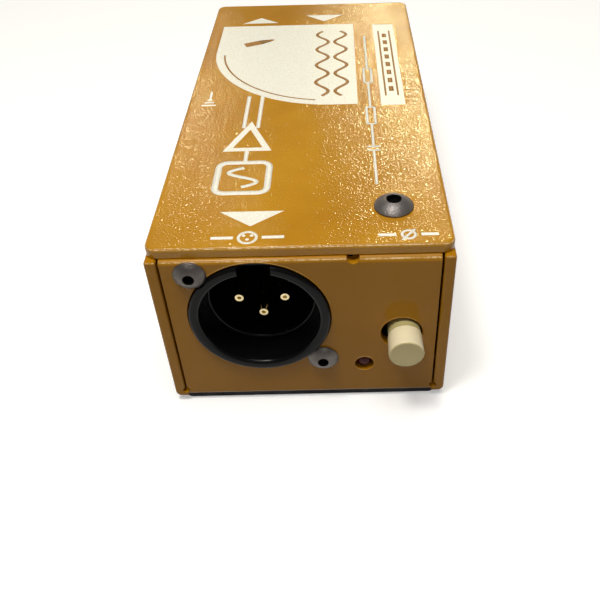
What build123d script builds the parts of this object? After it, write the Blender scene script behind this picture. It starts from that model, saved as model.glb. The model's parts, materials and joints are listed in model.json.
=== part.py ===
"""Direct injection box: a folded steel tray with a screwed lid, a male XLR output and a phase button on the
front, two 6.35 mm jacks at the rear, a recessed slide switch in the left wall and a circuit board inside.

Millimetres. The origin is the centre of the pad's underside, +Z is up, the XLR end faces -Y and +X is to the
right as that end is looked at.
"""

import os
from math import sqrt

from build123d import *

os.makedirs("parts", exist_ok=True)

# ---------------------------------------------------------------- driving dimensions
# Fits and clearances
press_fit_gap = 0.02  # radial, between pieces pressed or glued together
thread_gap = 0.05  # radial, between a screw and what it is screwed into
lead_gap = 0.15  # around a soldered lead in the board
slide_gap = 0.1  # between sliding faces
seat_gap = 0.05  # between faces that only just touch

# Steel tray and lid
body_width = 49.8  # over the side walls
body_length = 104.9  # of the side walls
sheet = 1.9  # steel of the tray
bend_radius = 1.1  # outside of the folds
wall_round = 0.4  # softened by the powder coat
panel_edge_round = 0.8  # front panel's plain top edge
lid_thickness = 2.0
lid_side_inset = 0.1  # lid's edge to the side wall's outer face
lid_end_inset = 0.9  # lid's edge to the side wall's end
lid_corner = 2.0
lid_top_round = 0.6
lid_under_round = 0.25
panel_recess = 0.15  # front and rear panels, behind the ends of the side walls
corner_gap = 0.4  # open seam between a panel and a side wall
relief_radius = 0.65  # hole at the foot of each seam
relief_height = 1.65  # of its centre, above the tray's underside
pad_thickness = 1.2
pad_inset = 0.9
pad_corner = 2.0

# Lid fastening
lid_screw_radius = 1.75
lid_screw_length = 9.0
lid_screw_head_radius = 3.33
lid_screw_head_height = 1.85
lid_screw_socket = 2.0  # across flats
lid_screw_socket_depth = 1.1
lid_screw_wall_gap = 7.5  # centre to the right side wall's inner face
lid_screw_setback = 10.2  # centre behind the lid's front edge
lid_hole_gap = 0.2
tab_border = 5.0  # steel beyond the screw's centre, inwards
tab_left_border = 7.1  # steel beyond the screw's centre, to the left
bend_relief_width = 2.1
bend_relief_depth = 1.2
press_nut_shank_radius = 2.6
press_nut_radius = 3.6
press_nut_height = 3.4
rear_lip_depth = 6.0
tongue_width = 24.0
tongue_thickness = 1.0
tongue_reach = 4.0  # under the rear lip
tongue_root = 9.0  # welded under the lid
tongue_gap = 0.5  # to the lip's edge
dome_share = 0.9  # of a button head's height that is rounded

# Circuit board and its standoffs
standoff_height = 2.25
standoff_flats = 5.0
standoff_shank_radius = 2.1
board_thickness = 1.6
board_side_gap = 1.3
board_end_gap = 1.2
board_screw_radius = 1.25
board_screw_length = 3.4
board_screw_head_radius = 2.3
board_screw_head_height = 1.4
board_screw_slot_length = 2.2  # arms of the cross recess
board_screw_slot_width = 0.6
board_screw_slot_depth = 0.9
board_screw_side = 4.2  # from the board's side edge
board_screw_front_gap = 16.8  # of the front pair, behind the XLR housing
board_screw_rear_gap = 6.4  # of the rear pair, in front of the jacks
lead_tail = 1.5  # soldered ends under the board

# XLR connector
xlr_axis_height = 13.9  # above the board
xlr_share = 0.3274  # of the inner half width, left of the middle
xlr_flange_half_width = 13.0
xlr_flange_half_height = 12.2
xlr_flange_corner = 2.5
xlr_flange_thickness = 2.2
xlr_head_room = 0.55  # flange to the lid
xlr_ring_radius = 12.0
xlr_ring_proud = 0.8
xlr_ring_gap = 0.25  # ring in the panel
xlr_ring_round = 0.6  # outside of the lip
xlr_mouth_round = 0.8  # inside of the lip
xlr_mouth_radius = 10.1
xlr_mouth_depth = 5.5
xlr_bore_radius = 8.95
xlr_bore_round = 0.35  # edge between the mouth's floor and the bore
xlr_cavity_depth = 16.4  # ring's face to the insert
xlr_body_depth = 22.5  # ring's face to the back of the housing
xlr_key_width = 5.45
xlr_key_radius = 11.0
xlr_key_depth = 14.0
xlr_key_notch_depth = 1.8  # where the keyway breaks through the lip
xlr_foot_width = 17.0
xlr_foot_length = 9.0
xlr_peg_radius = 0.9
xlr_peg_pitch = 12.0
xlr_screw_across = 10.4
xlr_screw_up = 10.0
xlr_screw_radius = 1.4
xlr_screw_length = 8.0
xlr_screw_head_radius = 2.7
xlr_screw_head_height = 1.5
xlr_screw_socket = 1.6
xlr_screw_socket_depth = 0.9
xlr_boss_radius = 2.2
xlr_boss_depth = 4.5
xlr_pin_radius = 1.2
xlr_pin_nose = 1.2  # tapered tip
xlr_pin_taper = 20.0  # degrees
xlr_pin_dimple_radius = 0.36
xlr_pin_dimple_depth = 0.6
xlr_pin_tip_depth = 6.0  # tips behind the ring's face
xlr_pin_spread = 8.0  # between pins 1 and 2
xlr_pin_drop = 3.5  # pin 3 below the others
xlr_tail_radius = 0.55
xlr_tail_bend = 0.4  # inside of the tails' bend
xlr_tail_setback = 2.2  # tails of pins 1 and 2 behind the housing
xlr_tail_step = 2.6  # pin 3's tail behind the others
xlr_lug_width = 3.0
xlr_lug_thickness = 0.4
xlr_lug_tail_width = 1.2

# Phase push switch
phase_axis_height = 9.6  # above the board
phase_body_width = 8.0
phase_body_above = 4.3  # body above the axis
phase_body_length = 19.0
phase_cap_room = 0.5  # between the cap and the body at full press
phase_share = 0.7435  # of the inner half width, right of the middle
phase_wall = 1.0
phase_bay = 6.2  # square bay inside the body
phase_block_length = 6.5
phase_rod = 2.8  # square plunger
phase_rod_in_cap = 5.0
phase_guide_radius = 0.9
phase_guide_room = 1.0  # behind the guide at full press
phase_travel = 3.0
phase_hole_radius = 3.7
phase_hole_offset = 0.45  # hole's centre left of the button's axis
button_front_radius = 3.0
button_root_radius = 2.95
button_collar_radius = 2.85
button_collar_proud = 1.1  # outside the panel
button_proud = 5.2
button_back = 3.0  # behind the panel's face
button_round = 0.3
spring_radius = 2.1
spring_wire = 0.4
spring_turns = 7
phase_pin_pitch = 2.5
phase_pin_rows = 5.0  # between the two rows of pins
phase_pin_count = 6
phase_pin_size = 0.5

# Lift slide switch
lift_behind_middle = 3.6  # behind the box's centre
lift_body_height = 5.8
lift_body_depth = 5.2
lift_wall_gap = 0.6  # frame to the side wall
lift_frame = 0.4
lift_bay_wall = 0.9
lift_bay_depth = 3.2
lift_block_length = 6.0
lift_block_height = 3.6
lift_block_depth = 2.6
lift_handle_length = 3.2
lift_handle_height = 2.6
lift_handle_recess = 0.5  # below the wall's outer face
lift_travel = 2.5
lift_slot_margin = 0.5
lift_pin_pitch = 3.0
lift_pin_rows = 2.6

# Power LED
led_share = 0.4435  # of the inner half width, right of the middle
led_height = 2.0  # above the board
led_radius = 1.55
led_flange_radius = 1.9
led_flange_thickness = 1.0
led_length = 5.8
led_tip_depth = 0.3  # behind the panel's face
led_hole_radius = 1.75
led_lead_pitch = 2.0
led_lead_reach = 2.4

# Rear jacks
jack_axis_height = 9.6  # above the board
jack_pitch = 17.1
jack_side_gap = 1.8  # left jack to the left side wall
jack_body_width = 15.6
jack_body_above = 7.6
jack_body_depth = 23.0
jack_bore_radius = 3.25
jack_chamber_half_width = 5.6
jack_chamber_half_height = 5.0
jack_chamber_length = 17.0
jack_chamber_setback = 3.0  # behind the body's front face
jack_bushing_radius = 4.75
jack_bushing_gap = 0.15  # in the panel
jack_bushing_proud = 5.6
jack_bushing_seat = 2.0  # into the body
jack_bushing_bevel = 0.3
jack_washer_radius = 7.0
jack_washer_thickness = 0.6
jack_nut_flats = 12.7
jack_nut_thickness = 2.2
jack_nut_round = 0.5  # turned off the hexagon's corners
jack_spring_thickness = 0.4
jack_spring_height = 3.0
jack_spring_flat = 4.0  # straight part along the chamber's wall
jack_spring_lengths = {"tip": 15.0, "switch": 10.0}
jack_spring_bend = 1.5
jack_pin_width = 1.2

# Parts on the board
can_radius = 4.0
can_height = 11.5
can_round = 0.7
can_groove = 0.35
can_groove_height = 1.7
can_spread = 10.0  # between the cans
can_setback = 11.5  # behind the XLR housing
film_side = 8.0  # rows left and right of the middle
film_row_pitch = 6.5
film_round = 0.4
lead_pitch = 3.5
film_length = 10.3
film_width = 4.0
film_height = 8.0
film_lead_pitch = 7.5
resistor_length = 6.3
resistor_radius = 1.15
resistor_lead_pitch = 10.2
resistor_round = 0.4
resistor_side = 6.0  # columns left and right of the middle
resistor_rows = 3
resistor_row_pitch = 3.5
resistor_setback = 4.0  # in front of the jacks
lead_size = 0.5
chip_length = 9.6
chip_width = 6.4
chip_height = 3.3
chip_standoff = 0.5
chip_pin_pitch = 2.54
chip_pin_rows = 7.62
chip_pins_per_side = 4
chip_side = 7.0  # right of the middle
chip_behind_middle = 4.0
transistor_radius = 2.3
transistor_flat = 1.3
transistor_height = 4.6
transistor_standoff = 3.0
transistor_pitch = 1.27
transistor_side = 17.0
transistor_spread = 3.5

# ---------------------------------------------------------------- places worked out from them
half_width = body_width / 2
half_length = body_length / 2
inner_half = half_width - sheet
panel_outer = half_length - panel_recess  # both panels' outer faces, each side of the middle
panel_inner = panel_outer - sheet
panel_half = inner_half - corner_gap

tray_bottom = pad_thickness
floor_top = tray_bottom + sheet
board_bottom = floor_top + standoff_height
board_top = board_bottom + board_thickness
lead_bottom = board_bottom - lead_tail
xlr_z = board_top + xlr_axis_height
wall_top = xlr_z + xlr_flange_half_height + xlr_head_room
lid_top = wall_top + lid_thickness
lid_front = -(half_length - lid_end_inset)

board_half_width = inner_half - board_side_gap
board_half_length = panel_inner - board_end_gap

xlr_x = -xlr_share * inner_half
xlr_face = panel_outer + xlr_ring_proud
xlr_back_y = -xlr_face + xlr_body_depth
jack_front_y = panel_inner - jack_body_depth
phase_x = phase_share * inner_half
phase_z = board_top + phase_axis_height
led_x = led_share * inner_half
led_z = board_top + led_height
lid_screw_x = inner_half - lid_screw_wall_gap
lid_screw_y = lid_front + lid_screw_setback
jack_z = board_top + jack_axis_height
thru_x = -(inner_half - jack_side_gap - jack_body_width / 2)
jack_places = {"thru": thru_x, "input": thru_x + jack_pitch}
lift_z = board_top + lift_body_height / 2 + seat_gap
lift_x = inner_half - lift_wall_gap  # frame's face, left of the middle
lift_bay_length = lift_block_length + lift_travel + 2 * slide_gap
lift_base_length = lift_bay_length + 2 * lift_bay_wall
lift_base_height = lift_body_height - lift_frame - seat_gap
lift_slot_length = lift_handle_length + lift_travel + 2 * lift_slot_margin
lift_slot_height = lift_handle_height + 2 * lift_slot_margin

# Planes whose normal points out of the box
front_plane = Plane(origin=(0, -panel_outer, 0), x_dir=(1, 0, 0), z_dir=(0, -1, 0))
rear_plane = Plane(origin=(0, panel_outer, 0), x_dir=(-1, 0, 0), z_dir=(0, 1, 0))
lift_plane = Plane(origin=(-lift_x, lift_behind_middle, lift_z), x_dir=(0, -1, 0), z_dir=(-1, 0, 0))
xlr_plane = Plane(origin=(xlr_x, -xlr_face, xlr_z), x_dir=(1, 0, 0), z_dir=(0, -1, 0))
phase_plane = Plane(origin=(phase_x, -panel_outer, phase_z), x_dir=(1, 0, 0), z_dir=(0, -1, 0))

xlr_screw_spots = [(-xlr_screw_across, xlr_screw_up), (xlr_screw_across, -xlr_screw_up)]
xlr_pin_spots = [(-xlr_pin_spread / 2, 0), (xlr_pin_spread / 2, 0), (0, -xlr_pin_drop)]
xlr_tail_y = [xlr_back_y + xlr_tail_setback + step * xlr_tail_step for step in (0, 0, 1)]
board_screw_x = board_half_width - board_screw_side
board_screw_spots = [
    (side * board_screw_x, y)
    for side in (-1, 1)
    for y in (xlr_back_y + board_screw_front_gap, jack_front_y - board_screw_rear_gap)
]
tab_left = lid_screw_x - tab_left_border
tab_depth = lid_screw_y + tab_border + panel_outer

# ---------------------------------------------------------------- tray, lid and pad
with BuildPart() as base_tray:
    # floor and side walls, one folded strip
    with BuildSketch(Plane.XZ.offset(half_length)) as strip:
        with Locations((0, (tray_bottom + wall_top) / 2)):
            Rectangle(body_width, wall_top - tray_bottom)
        fillet(strip.vertices().group_by(Axis.Y)[0], bend_radius)
        with Locations((0, (floor_top + wall_top) / 2)):
            Rectangle(2 * inner_half, wall_top - floor_top, mode=Mode.SUBTRACT)
    extrude(amount=-body_length)
    fillet(base_tray.edges().filter_by(Axis.Y).group_by(Axis.Z)[-1], wall_round)
    for end in (-1, 1):
        corners = base_tray.edges().filter_by(Axis.Z).filter_by_position(
            Axis.Y, end * half_length - wall_round, end * half_length + wall_round
        )
        fillet(corners, wall_round)
    # floor, panels and lips between the seams, another strip folded up at both ends
    with BuildSketch(Plane.XY):
        Rectangle(2 * panel_half, body_length)
    extrude(amount=floor_top, mode=Mode.SUBTRACT)
    for x_from, x_to, front_lip, top_round in (
        (-panel_half, tab_left, sheet, panel_edge_round),
        (tab_left, panel_half, tab_depth, bend_radius),
    ):
        with BuildSketch(Plane.YZ.offset(x_from)) as side_view:
            with Locations((0, (tray_bottom + wall_top) / 2)):
                Rectangle(2 * panel_outer, wall_top - tray_bottom)
            fillet(side_view.vertices().group_by(Axis.Y)[0], bend_radius)
            fillet(side_view.vertices().group_by(Axis.Y)[-1].sort_by(Axis.X)[-1], bend_radius)
            fillet(side_view.vertices().group_by(Axis.Y)[-1].sort_by(Axis.X)[0], top_round)
            with Locations((0, (floor_top + wall_top - sheet) / 2)):
                Rectangle(2 * panel_inner, wall_top - sheet - floor_top, mode=Mode.SUBTRACT)
            with Locations(((front_lip - rear_lip_depth) / 2, wall_top - sheet / 2)):
                Rectangle(2 * panel_outer - front_lip - rear_lip_depth, sheet, mode=Mode.SUBTRACT)
        extrude(amount=x_to - x_from)
    # seams' relief holes
    with BuildSketch(Plane.XZ.offset(half_length)):
        with Locations(
            (-panel_half - corner_gap / 2, tray_bottom + relief_height),
            (panel_half + corner_gap / 2, tray_bottom + relief_height),
        ):
            Circle(relief_radius)
    extrude(amount=-body_length, mode=Mode.SUBTRACT)
    # front panel's holes
    with BuildSketch(front_plane):
        with Locations((xlr_x, xlr_z)):
            Circle(xlr_ring_radius + xlr_ring_gap)
        with Locations(*[(xlr_x + x, xlr_z + z) for x, z in xlr_screw_spots]):
            Circle(xlr_screw_radius + lead_gap)
        with Locations((phase_x - phase_hole_offset, phase_z)):
            Circle(phase_hole_radius)
        with Locations((led_x, led_z)):
            Circle(led_hole_radius)
        with Locations((tab_left, wall_top)):
            SlotOverall(2 * bend_relief_depth, bend_relief_width, rotation=90)
    extrude(amount=-sheet, mode=Mode.SUBTRACT)
    # rear panel's holes
    with BuildSketch(rear_plane):
        with Locations(*[(-x, jack_z) for x in jack_places.values()]):
            Circle(jack_bushing_radius + jack_bushing_gap)
    extrude(amount=-sheet, mode=Mode.SUBTRACT)
    # lift switch's slot in the left wall
    with BuildSketch(lift_plane.offset(lift_wall_gap)):
        SlotOverall(lift_slot_length, lift_slot_height)
    extrude(amount=sheet, mode=Mode.SUBTRACT)
    # press nut in the tab, and the standoffs' shanks in the floor
    with Locations((lid_screw_x, lid_screw_y, wall_top)):
        Hole(press_nut_shank_radius + press_fit_gap, depth=sheet)
    with Locations(*[(x, y, floor_top) for x, y in board_screw_spots]):
        Hole(standoff_shank_radius + press_fit_gap, depth=sheet)
base_tray.part.label = "base_tray"
export_step(base_tray.part, "parts/base_tray.step")

with BuildPart() as bottom_pad:
    with BuildSketch():
        RectangleRounded(body_width - 2 * pad_inset, body_length - 2 * pad_inset, pad_corner)
    extrude(amount=pad_thickness)
bottom_pad.part.label = "bottom_pad"
export_step(bottom_pad.part, "parts/bottom_pad.step")

with BuildPart() as top_lid:
    with BuildSketch(Plane.XY.offset(wall_top)):
        RectangleRounded(body_width - 2 * lid_side_inset, body_length - 2 * lid_end_inset, lid_corner)
    extrude(amount=lid_thickness)
    fillet(top_lid.edges().group_by(Axis.Z)[-1], lid_top_round)
    fillet(top_lid.edges().group_by(Axis.Z)[0], lid_under_round)
    with Locations((lid_screw_x, lid_screw_y, lid_top)):
        Hole(lid_screw_radius + lid_hole_gap, depth=lid_thickness)
top_lid.part.label = "top_lid"
export_step(top_lid.part, "parts/top_lid.step")

# tongue welded under the lid's rear, which hooks below the rear panel's lip
lip_edge_y = panel_outer - rear_lip_depth
tongue_step_y = lip_edge_y - tongue_gap
tongue_top = wall_top - sheet - slide_gap
with BuildPart() as lid_tongue:
    with BuildSketch(Plane.YZ.offset(-tongue_width / 2)):
        with BuildLine():
            Polyline(
                (tongue_step_y - tongue_root, wall_top),
                (tongue_step_y, wall_top),
                (tongue_step_y, tongue_top),
                (lip_edge_y + tongue_reach, tongue_top),
                (lip_edge_y + tongue_reach, tongue_top - tongue_thickness),
                (tongue_step_y - tongue_thickness, tongue_top - tongue_thickness),
                (tongue_step_y - tongue_thickness, wall_top - tongue_thickness),
                (tongue_step_y - tongue_root, wall_top - tongue_thickness),
                close=True,
            )
        make_face()
    extrude(amount=tongue_width)
lid_tongue.part.label = "lid_tongue"
export_step(lid_tongue.part, "parts/lid_tongue.step")

lid_screw_plane = Plane(origin=(lid_screw_x, lid_screw_y, lid_top))
with BuildPart() as lid_screw:
    with BuildSketch(lid_screw_plane):
        Circle(lid_screw_head_radius)
    extrude(amount=lid_screw_head_height)
    fillet(lid_screw.edges().group_by(Axis.Z)[-1], lid_screw_head_height * dome_share)
    with BuildSketch(lid_screw_plane):
        Circle(lid_screw_radius)
    extrude(amount=-lid_screw_length)
    with BuildSketch(lid_screw_plane.offset(lid_screw_head_height)):
        RegularPolygon(lid_screw_socket / 2, 6, major_radius=False)
    extrude(amount=-lid_screw_socket_depth, mode=Mode.SUBTRACT)
lid_screw.part.label = "lid_screw"
export_step(lid_screw.part, "parts/lid_screw.step")

with BuildPart() as lid_press_nut:
    with BuildSketch(Plane(origin=(lid_screw_x, lid_screw_y, wall_top - sheet))):
        Circle(press_nut_radius)
    extrude(amount=-press_nut_height)
    with BuildSketch(Plane(origin=(lid_screw_x, lid_screw_y, wall_top - sheet))):
        Circle(press_nut_shank_radius)
    extrude(amount=sheet)
    with Locations((lid_screw_x, lid_screw_y, wall_top)):
        Hole(lid_screw_radius + thread_gap)
lid_press_nut.part.label = "lid_press_nut"
export_step(lid_press_nut.part, "parts/lid_press_nut.step")

# ---------------------------------------------------------------- XLR connector
xlr_flange_depth = sheet + xlr_ring_proud  # its front face, behind the ring's
with BuildPart() as xlr_housing:
    with BuildSketch(xlr_plane):
        Circle(xlr_ring_radius)
    extrude(amount=-xlr_body_depth)
    fillet(xlr_housing.edges().sort_by(Axis.Y)[0], xlr_ring_round)
    with BuildSketch(xlr_plane.offset(-xlr_flange_depth)):
        RectangleRounded(2 * xlr_flange_half_width, 2 * xlr_flange_half_height, xlr_flange_corner)
    extrude(amount=-xlr_flange_thickness)
    with BuildSketch(xlr_plane.offset(-xlr_flange_depth)):
        with Locations(*xlr_screw_spots):
            Circle(xlr_boss_radius)
    extrude(amount=-xlr_flange_thickness - xlr_boss_depth)
    # foot on the board, with two pegs through it
    with BuildSketch(xlr_plane.offset(-xlr_body_depth)):
        with Locations((0, -(xlr_axis_height + xlr_mouth_radius) / 2)):
            Rectangle(xlr_foot_width, xlr_axis_height - xlr_mouth_radius)
    extrude(amount=xlr_foot_length)
    with BuildSketch(Plane.XY.offset(board_top)):
        with Locations(*[(xlr_x + s * xlr_peg_pitch / 2, xlr_back_y - xlr_foot_length / 2) for s in (-1, 1)]):
            Circle(xlr_peg_radius)
    extrude(amount=-board_thickness)
    # mouth and bore, both with a rounded edge
    for radius, depth in ((xlr_mouth_radius, xlr_mouth_depth), (xlr_bore_radius, xlr_body_depth)):
        with BuildSketch(xlr_plane):
            Circle(radius)
        extrude(amount=-depth, mode=Mode.SUBTRACT)
    fillet(xlr_housing.edges().group_by(Axis.Y)[0].sort_by(Edge.length)[0], xlr_mouth_round)
    bore_edges = xlr_housing.edges().filter_by(GeomType.CIRCLE).filter_by(lambda edge: edge.radius == xlr_bore_radius)
    fillet(bore_edges.sort_by(Axis.Y)[0], xlr_bore_round)
    # keyway at the top, through the lip at its front
    for reach, depth in ((xlr_key_radius, xlr_key_depth), (xlr_ring_radius, xlr_key_notch_depth)):
        with BuildSketch(xlr_plane):
            with Locations((0, reach / 2)):
                Rectangle(xlr_key_width, reach)
        extrude(amount=-depth, mode=Mode.SUBTRACT)
    # screw holes, and the ring's edge relieved for the screw heads
    with BuildSketch(xlr_plane.offset(-xlr_flange_depth)):
        with Locations(*xlr_screw_spots):
            Circle(xlr_screw_radius + thread_gap)
    extrude(amount=-xlr_flange_thickness - xlr_boss_depth, mode=Mode.SUBTRACT)
    with BuildSketch(xlr_plane.offset(-xlr_ring_proud)):
        with Locations(*xlr_screw_spots):
            Circle(xlr_screw_head_radius + slide_gap)
    extrude(amount=xlr_ring_proud, mode=Mode.SUBTRACT)
xlr_housing.part.label = "xlr_housing"
export_step(xlr_housing.part, "parts/xlr_housing.step")

with BuildPart() as xlr_insert:
    with BuildSketch(xlr_plane.offset(-xlr_cavity_depth)):
        Circle(xlr_bore_radius - press_fit_gap)
        with Locations(*xlr_pin_spots):
            Circle(xlr_pin_radius + press_fit_gap, mode=Mode.SUBTRACT)
    extrude(amount=xlr_cavity_depth - xlr_body_depth)
xlr_insert.part.label = "xlr_insert"
export_step(xlr_insert.part, "parts/xlr_insert.step")

for number, (spot, tail_y) in enumerate(zip(xlr_pin_spots, xlr_tail_y), start=1):
    pin_x = xlr_x + spot[0]
    pin_z = xlr_z + spot[1]
    tip_plane = Plane(origin=(pin_x, -xlr_face + xlr_pin_tip_depth, pin_z), z_dir=(0, 1, 0))
    with BuildPart() as xlr_pin:
        with BuildSketch(tip_plane.offset(xlr_pin_nose)):
            Circle(xlr_pin_radius)
        extrude(amount=xlr_body_depth - xlr_pin_tip_depth - xlr_pin_nose)
        extrude(xlr_pin.faces().sort_by(Axis.Y)[0], amount=xlr_pin_nose, taper=xlr_pin_taper)
        with BuildSketch(tip_plane):
            Circle(xlr_pin_dimple_radius)
        extrude(amount=xlr_pin_dimple_depth, mode=Mode.SUBTRACT)
        with BuildLine() as tail_line:
            FilletPolyline(
                (pin_x, xlr_back_y, pin_z),
                (pin_x, tail_y, pin_z),
                (pin_x, tail_y, lead_bottom),
                radius=xlr_tail_radius + xlr_tail_bend,
            )
        with BuildSketch(Plane(origin=(pin_x, xlr_back_y, pin_z), z_dir=(0, 1, 0))):
            Circle(xlr_tail_radius)
        sweep(path=tail_line.line)
    xlr_pin.part.label = f"xlr_pin_{number}"
    export_step(xlr_pin.part, f"parts/xlr_pin_{number}.step")

# earth lug, against the back of the flange's lower left corner
lug_x = xlr_x - xlr_flange_half_width + xlr_lug_width / 2
lug_y = -xlr_face + xlr_flange_depth + xlr_flange_thickness
lug_top = xlr_z - xlr_bore_radius
with BuildPart() as xlr_ground_lug:
    with BuildSketch(Plane.XZ.offset(-lug_y)):
        with Locations((lug_x, (lug_top + board_top) / 2)):
            Rectangle(xlr_lug_width, lug_top - board_top)
        with Locations((lug_x, (board_top + lead_bottom) / 2)):
            Rectangle(xlr_lug_tail_width, board_top - lead_bottom)
    extrude(amount=-xlr_lug_thickness)
xlr_ground_lug.part.label = "xlr_ground_lug"
export_step(xlr_ground_lug.part, "parts/xlr_ground_lug.step")

with BuildPart() as xlr_screws:
    with BuildSketch(xlr_plane.offset(-xlr_ring_proud)):
        with Locations(*xlr_screw_spots):
            Circle(xlr_screw_head_radius)
    extrude(amount=xlr_screw_head_height)
    fillet(xlr_screws.edges().group_by(Axis.Y)[0], xlr_screw_head_height * dome_share)
    with BuildSketch(xlr_plane.offset(-xlr_ring_proud)):
        with Locations(*xlr_screw_spots):
            Circle(xlr_screw_radius)
    extrude(amount=-xlr_screw_length)
    with BuildSketch(xlr_plane.offset(xlr_screw_head_height - xlr_ring_proud)):
        with Locations(*xlr_screw_spots):
            RegularPolygon(xlr_screw_socket / 2, 6, major_radius=False)
    extrude(amount=-xlr_screw_socket_depth, mode=Mode.SUBTRACT)
xlr_screws.part.label = "xlr_screws"
export_step(xlr_screws.part, "parts/xlr_screws.step")

# ---------------------------------------------------------------- phase push switch
phase_front = button_back + phase_travel + phase_cap_room  # switch body's face, behind the panel's
phase_bay_length = phase_body_length - 2 * phase_wall
phase_body_drop = (phase_body_above - phase_axis_height) / 2  # body's centre from the axis
phase_body_y = -panel_outer + phase_front + phase_body_length / 2
with BuildPart() as phase_switch_body:
    with BuildSketch(phase_plane.offset(-phase_front)):
        with Locations((0, phase_body_drop)):
            Rectangle(phase_body_width, phase_axis_height + phase_body_above)
    extrude(amount=-phase_body_length)
    with BuildSketch(phase_plane.offset(-phase_front - phase_wall)):
        Rectangle(phase_bay, phase_bay)
    extrude(amount=-phase_bay_length, mode=Mode.SUBTRACT)
    with BuildSketch(phase_plane.offset(-phase_front)):
        Rectangle(phase_rod + 2 * slide_gap, phase_rod + 2 * slide_gap)
    extrude(amount=-phase_wall, mode=Mode.SUBTRACT)
phase_switch_body.part.label = "phase_switch_body"
export_step(phase_switch_body.part, "parts/phase_switch_body.step")

phase_block_front = phase_front + phase_wall + seat_gap
phase_guide_length = phase_bay_length - seat_gap - phase_block_length - phase_travel - phase_guide_room
with BuildPart() as phase_plunger:
    with BuildSketch(phase_plane.offset(-phase_block_front)):
        Rectangle(phase_bay - 2 * slide_gap, phase_bay - 2 * slide_gap)
    extrude(amount=-phase_block_length)
    with BuildSketch(phase_plane.offset(-phase_block_front)):
        Rectangle(phase_rod, phase_rod)
    extrude(amount=phase_block_front - button_back + phase_rod_in_cap)
    with BuildSketch(phase_plane.offset(-phase_block_front - phase_block_length)):
        Circle(phase_guide_radius)
    extrude(amount=-phase_guide_length)
phase_plunger.part.label = "phase_plunger"
export_step(phase_plunger.part, "parts/phase_plunger.step")

phase_axis = Axis(origin=phase_plane.origin, direction=(0, 1, 0))
with BuildPart() as phase_button_cap:
    with BuildSketch(Plane(origin=phase_plane.origin, x_dir=(1, 0, 0), z_dir=(0, 0, 1))) as cap_side:
        with BuildLine():
            Polyline(
                (0, button_back),
                (button_collar_radius, button_back),
                (button_collar_radius, -button_collar_proud),
                (button_root_radius, -button_collar_proud),
                (button_front_radius, -button_proud),
                (0, -button_proud),
                close=True,
            )
        make_face()
        fillet(cap_side.vertices().group_by(Axis.Y)[0].sort_by(Axis.X)[-1], button_round)
    revolve(axis=phase_axis)
    with BuildSketch(phase_plane.offset(-button_back)):
        Rectangle(phase_rod + 2 * press_fit_gap, phase_rod + 2 * press_fit_gap)
    extrude(amount=phase_rod_in_cap + press_fit_gap, mode=Mode.SUBTRACT)
phase_button_cap.part.label = "phase_button_cap"
export_step(phase_button_cap.part, "parts/phase_button_cap.step")

# return spring, between the plunger's block and the back wall of the bay
spring_front = phase_block_front + phase_block_length + seat_gap + spring_wire / 2
spring_back = phase_front + phase_wall + phase_bay_length - seat_gap - spring_wire / 2
spring_start = phase_plane.offset(-spring_front).origin
with BuildPart() as phase_return_spring:
    with BuildLine() as coil:
        Helix(
            pitch=(spring_back - spring_front) / spring_turns,
            height=spring_back - spring_front,
            radius=spring_radius,
            center=spring_start,
            direction=(0, 1, 0),
        )
    with BuildSketch(Plane(origin=coil.line @ 0, z_dir=coil.line % 0)):
        Circle(spring_wire / 2)
    sweep(path=coil.line, is_frenet=True)
phase_return_spring.part.label = "phase_return_spring"
export_step(phase_return_spring.part, "parts/phase_return_spring.step")

with BuildPart() as phase_switch_terminals:
    with BuildSketch(Plane.XY.offset(lead_bottom)):
        with Locations((phase_x, phase_body_y)):
            with GridLocations(phase_pin_rows, phase_pin_pitch, 2, phase_pin_count):
                Rectangle(phase_pin_size, phase_pin_size)
    extrude(amount=board_top - lead_bottom)
phase_switch_terminals.part.label = "phase_switch_terminals"
export_step(phase_switch_terminals.part, "parts/phase_switch_terminals.step")

# ---------------------------------------------------------------- lift slide switch
with BuildPart() as lift_switch_frame:
    with BuildSketch(lift_plane):
        Rectangle(lift_base_length + 2 * (lift_frame + seat_gap), lift_body_height)
    extrude(amount=-lift_body_depth)
    with BuildSketch(lift_plane.offset(-lift_frame)):
        with Locations((0, -lift_frame / 2)):
            Rectangle(lift_base_length + 2 * seat_gap, lift_body_height - lift_frame)
    extrude(amount=-lift_body_depth, mode=Mode.SUBTRACT)
    with BuildSketch(lift_plane):
        Rectangle(lift_handle_length + lift_travel + 2 * slide_gap, lift_handle_height + 2 * slide_gap)
    extrude(amount=-lift_frame, mode=Mode.SUBTRACT)
lift_switch_frame.part.label = "lift_switch_frame"
export_step(lift_switch_frame.part, "parts/lift_switch_frame.step")

with BuildPart() as lift_switch_base:
    with BuildSketch(lift_plane.offset(-lift_frame - seat_gap)):
        with Locations((0, (lift_base_height - lift_body_height) / 2)):
            Rectangle(lift_base_length, lift_base_height)
    extrude(amount=lift_frame + seat_gap - lift_body_depth)
    with BuildSketch(lift_plane.offset(-lift_frame - seat_gap)):
        Rectangle(lift_bay_length, lift_block_height + 2 * slide_gap)
    extrude(amount=-lift_bay_depth, mode=Mode.SUBTRACT)
lift_switch_base.part.label = "lift_switch_base"
export_step(lift_switch_base.part, "parts/lift_switch_base.step")

with BuildPart() as lift_switch_slider:
    with BuildSketch(lift_plane.offset(-lift_frame - seat_gap - slide_gap)):
        with Locations((lift_travel / 2, 0)):
            Rectangle(lift_block_length, lift_block_height)
    extrude(amount=-lift_block_depth)
    with BuildSketch(lift_plane.offset(-lift_frame - seat_gap - slide_gap)):
        with Locations((lift_travel / 2, 0)):
            Rectangle(lift_handle_length, lift_handle_height)
    extrude(amount=lift_frame + seat_gap + slide_gap + lift_wall_gap + sheet - lift_handle_recess)
lift_switch_slider.part.label = "lift_switch_slider"
export_step(lift_switch_slider.part, "parts/lift_switch_slider.step")

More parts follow.
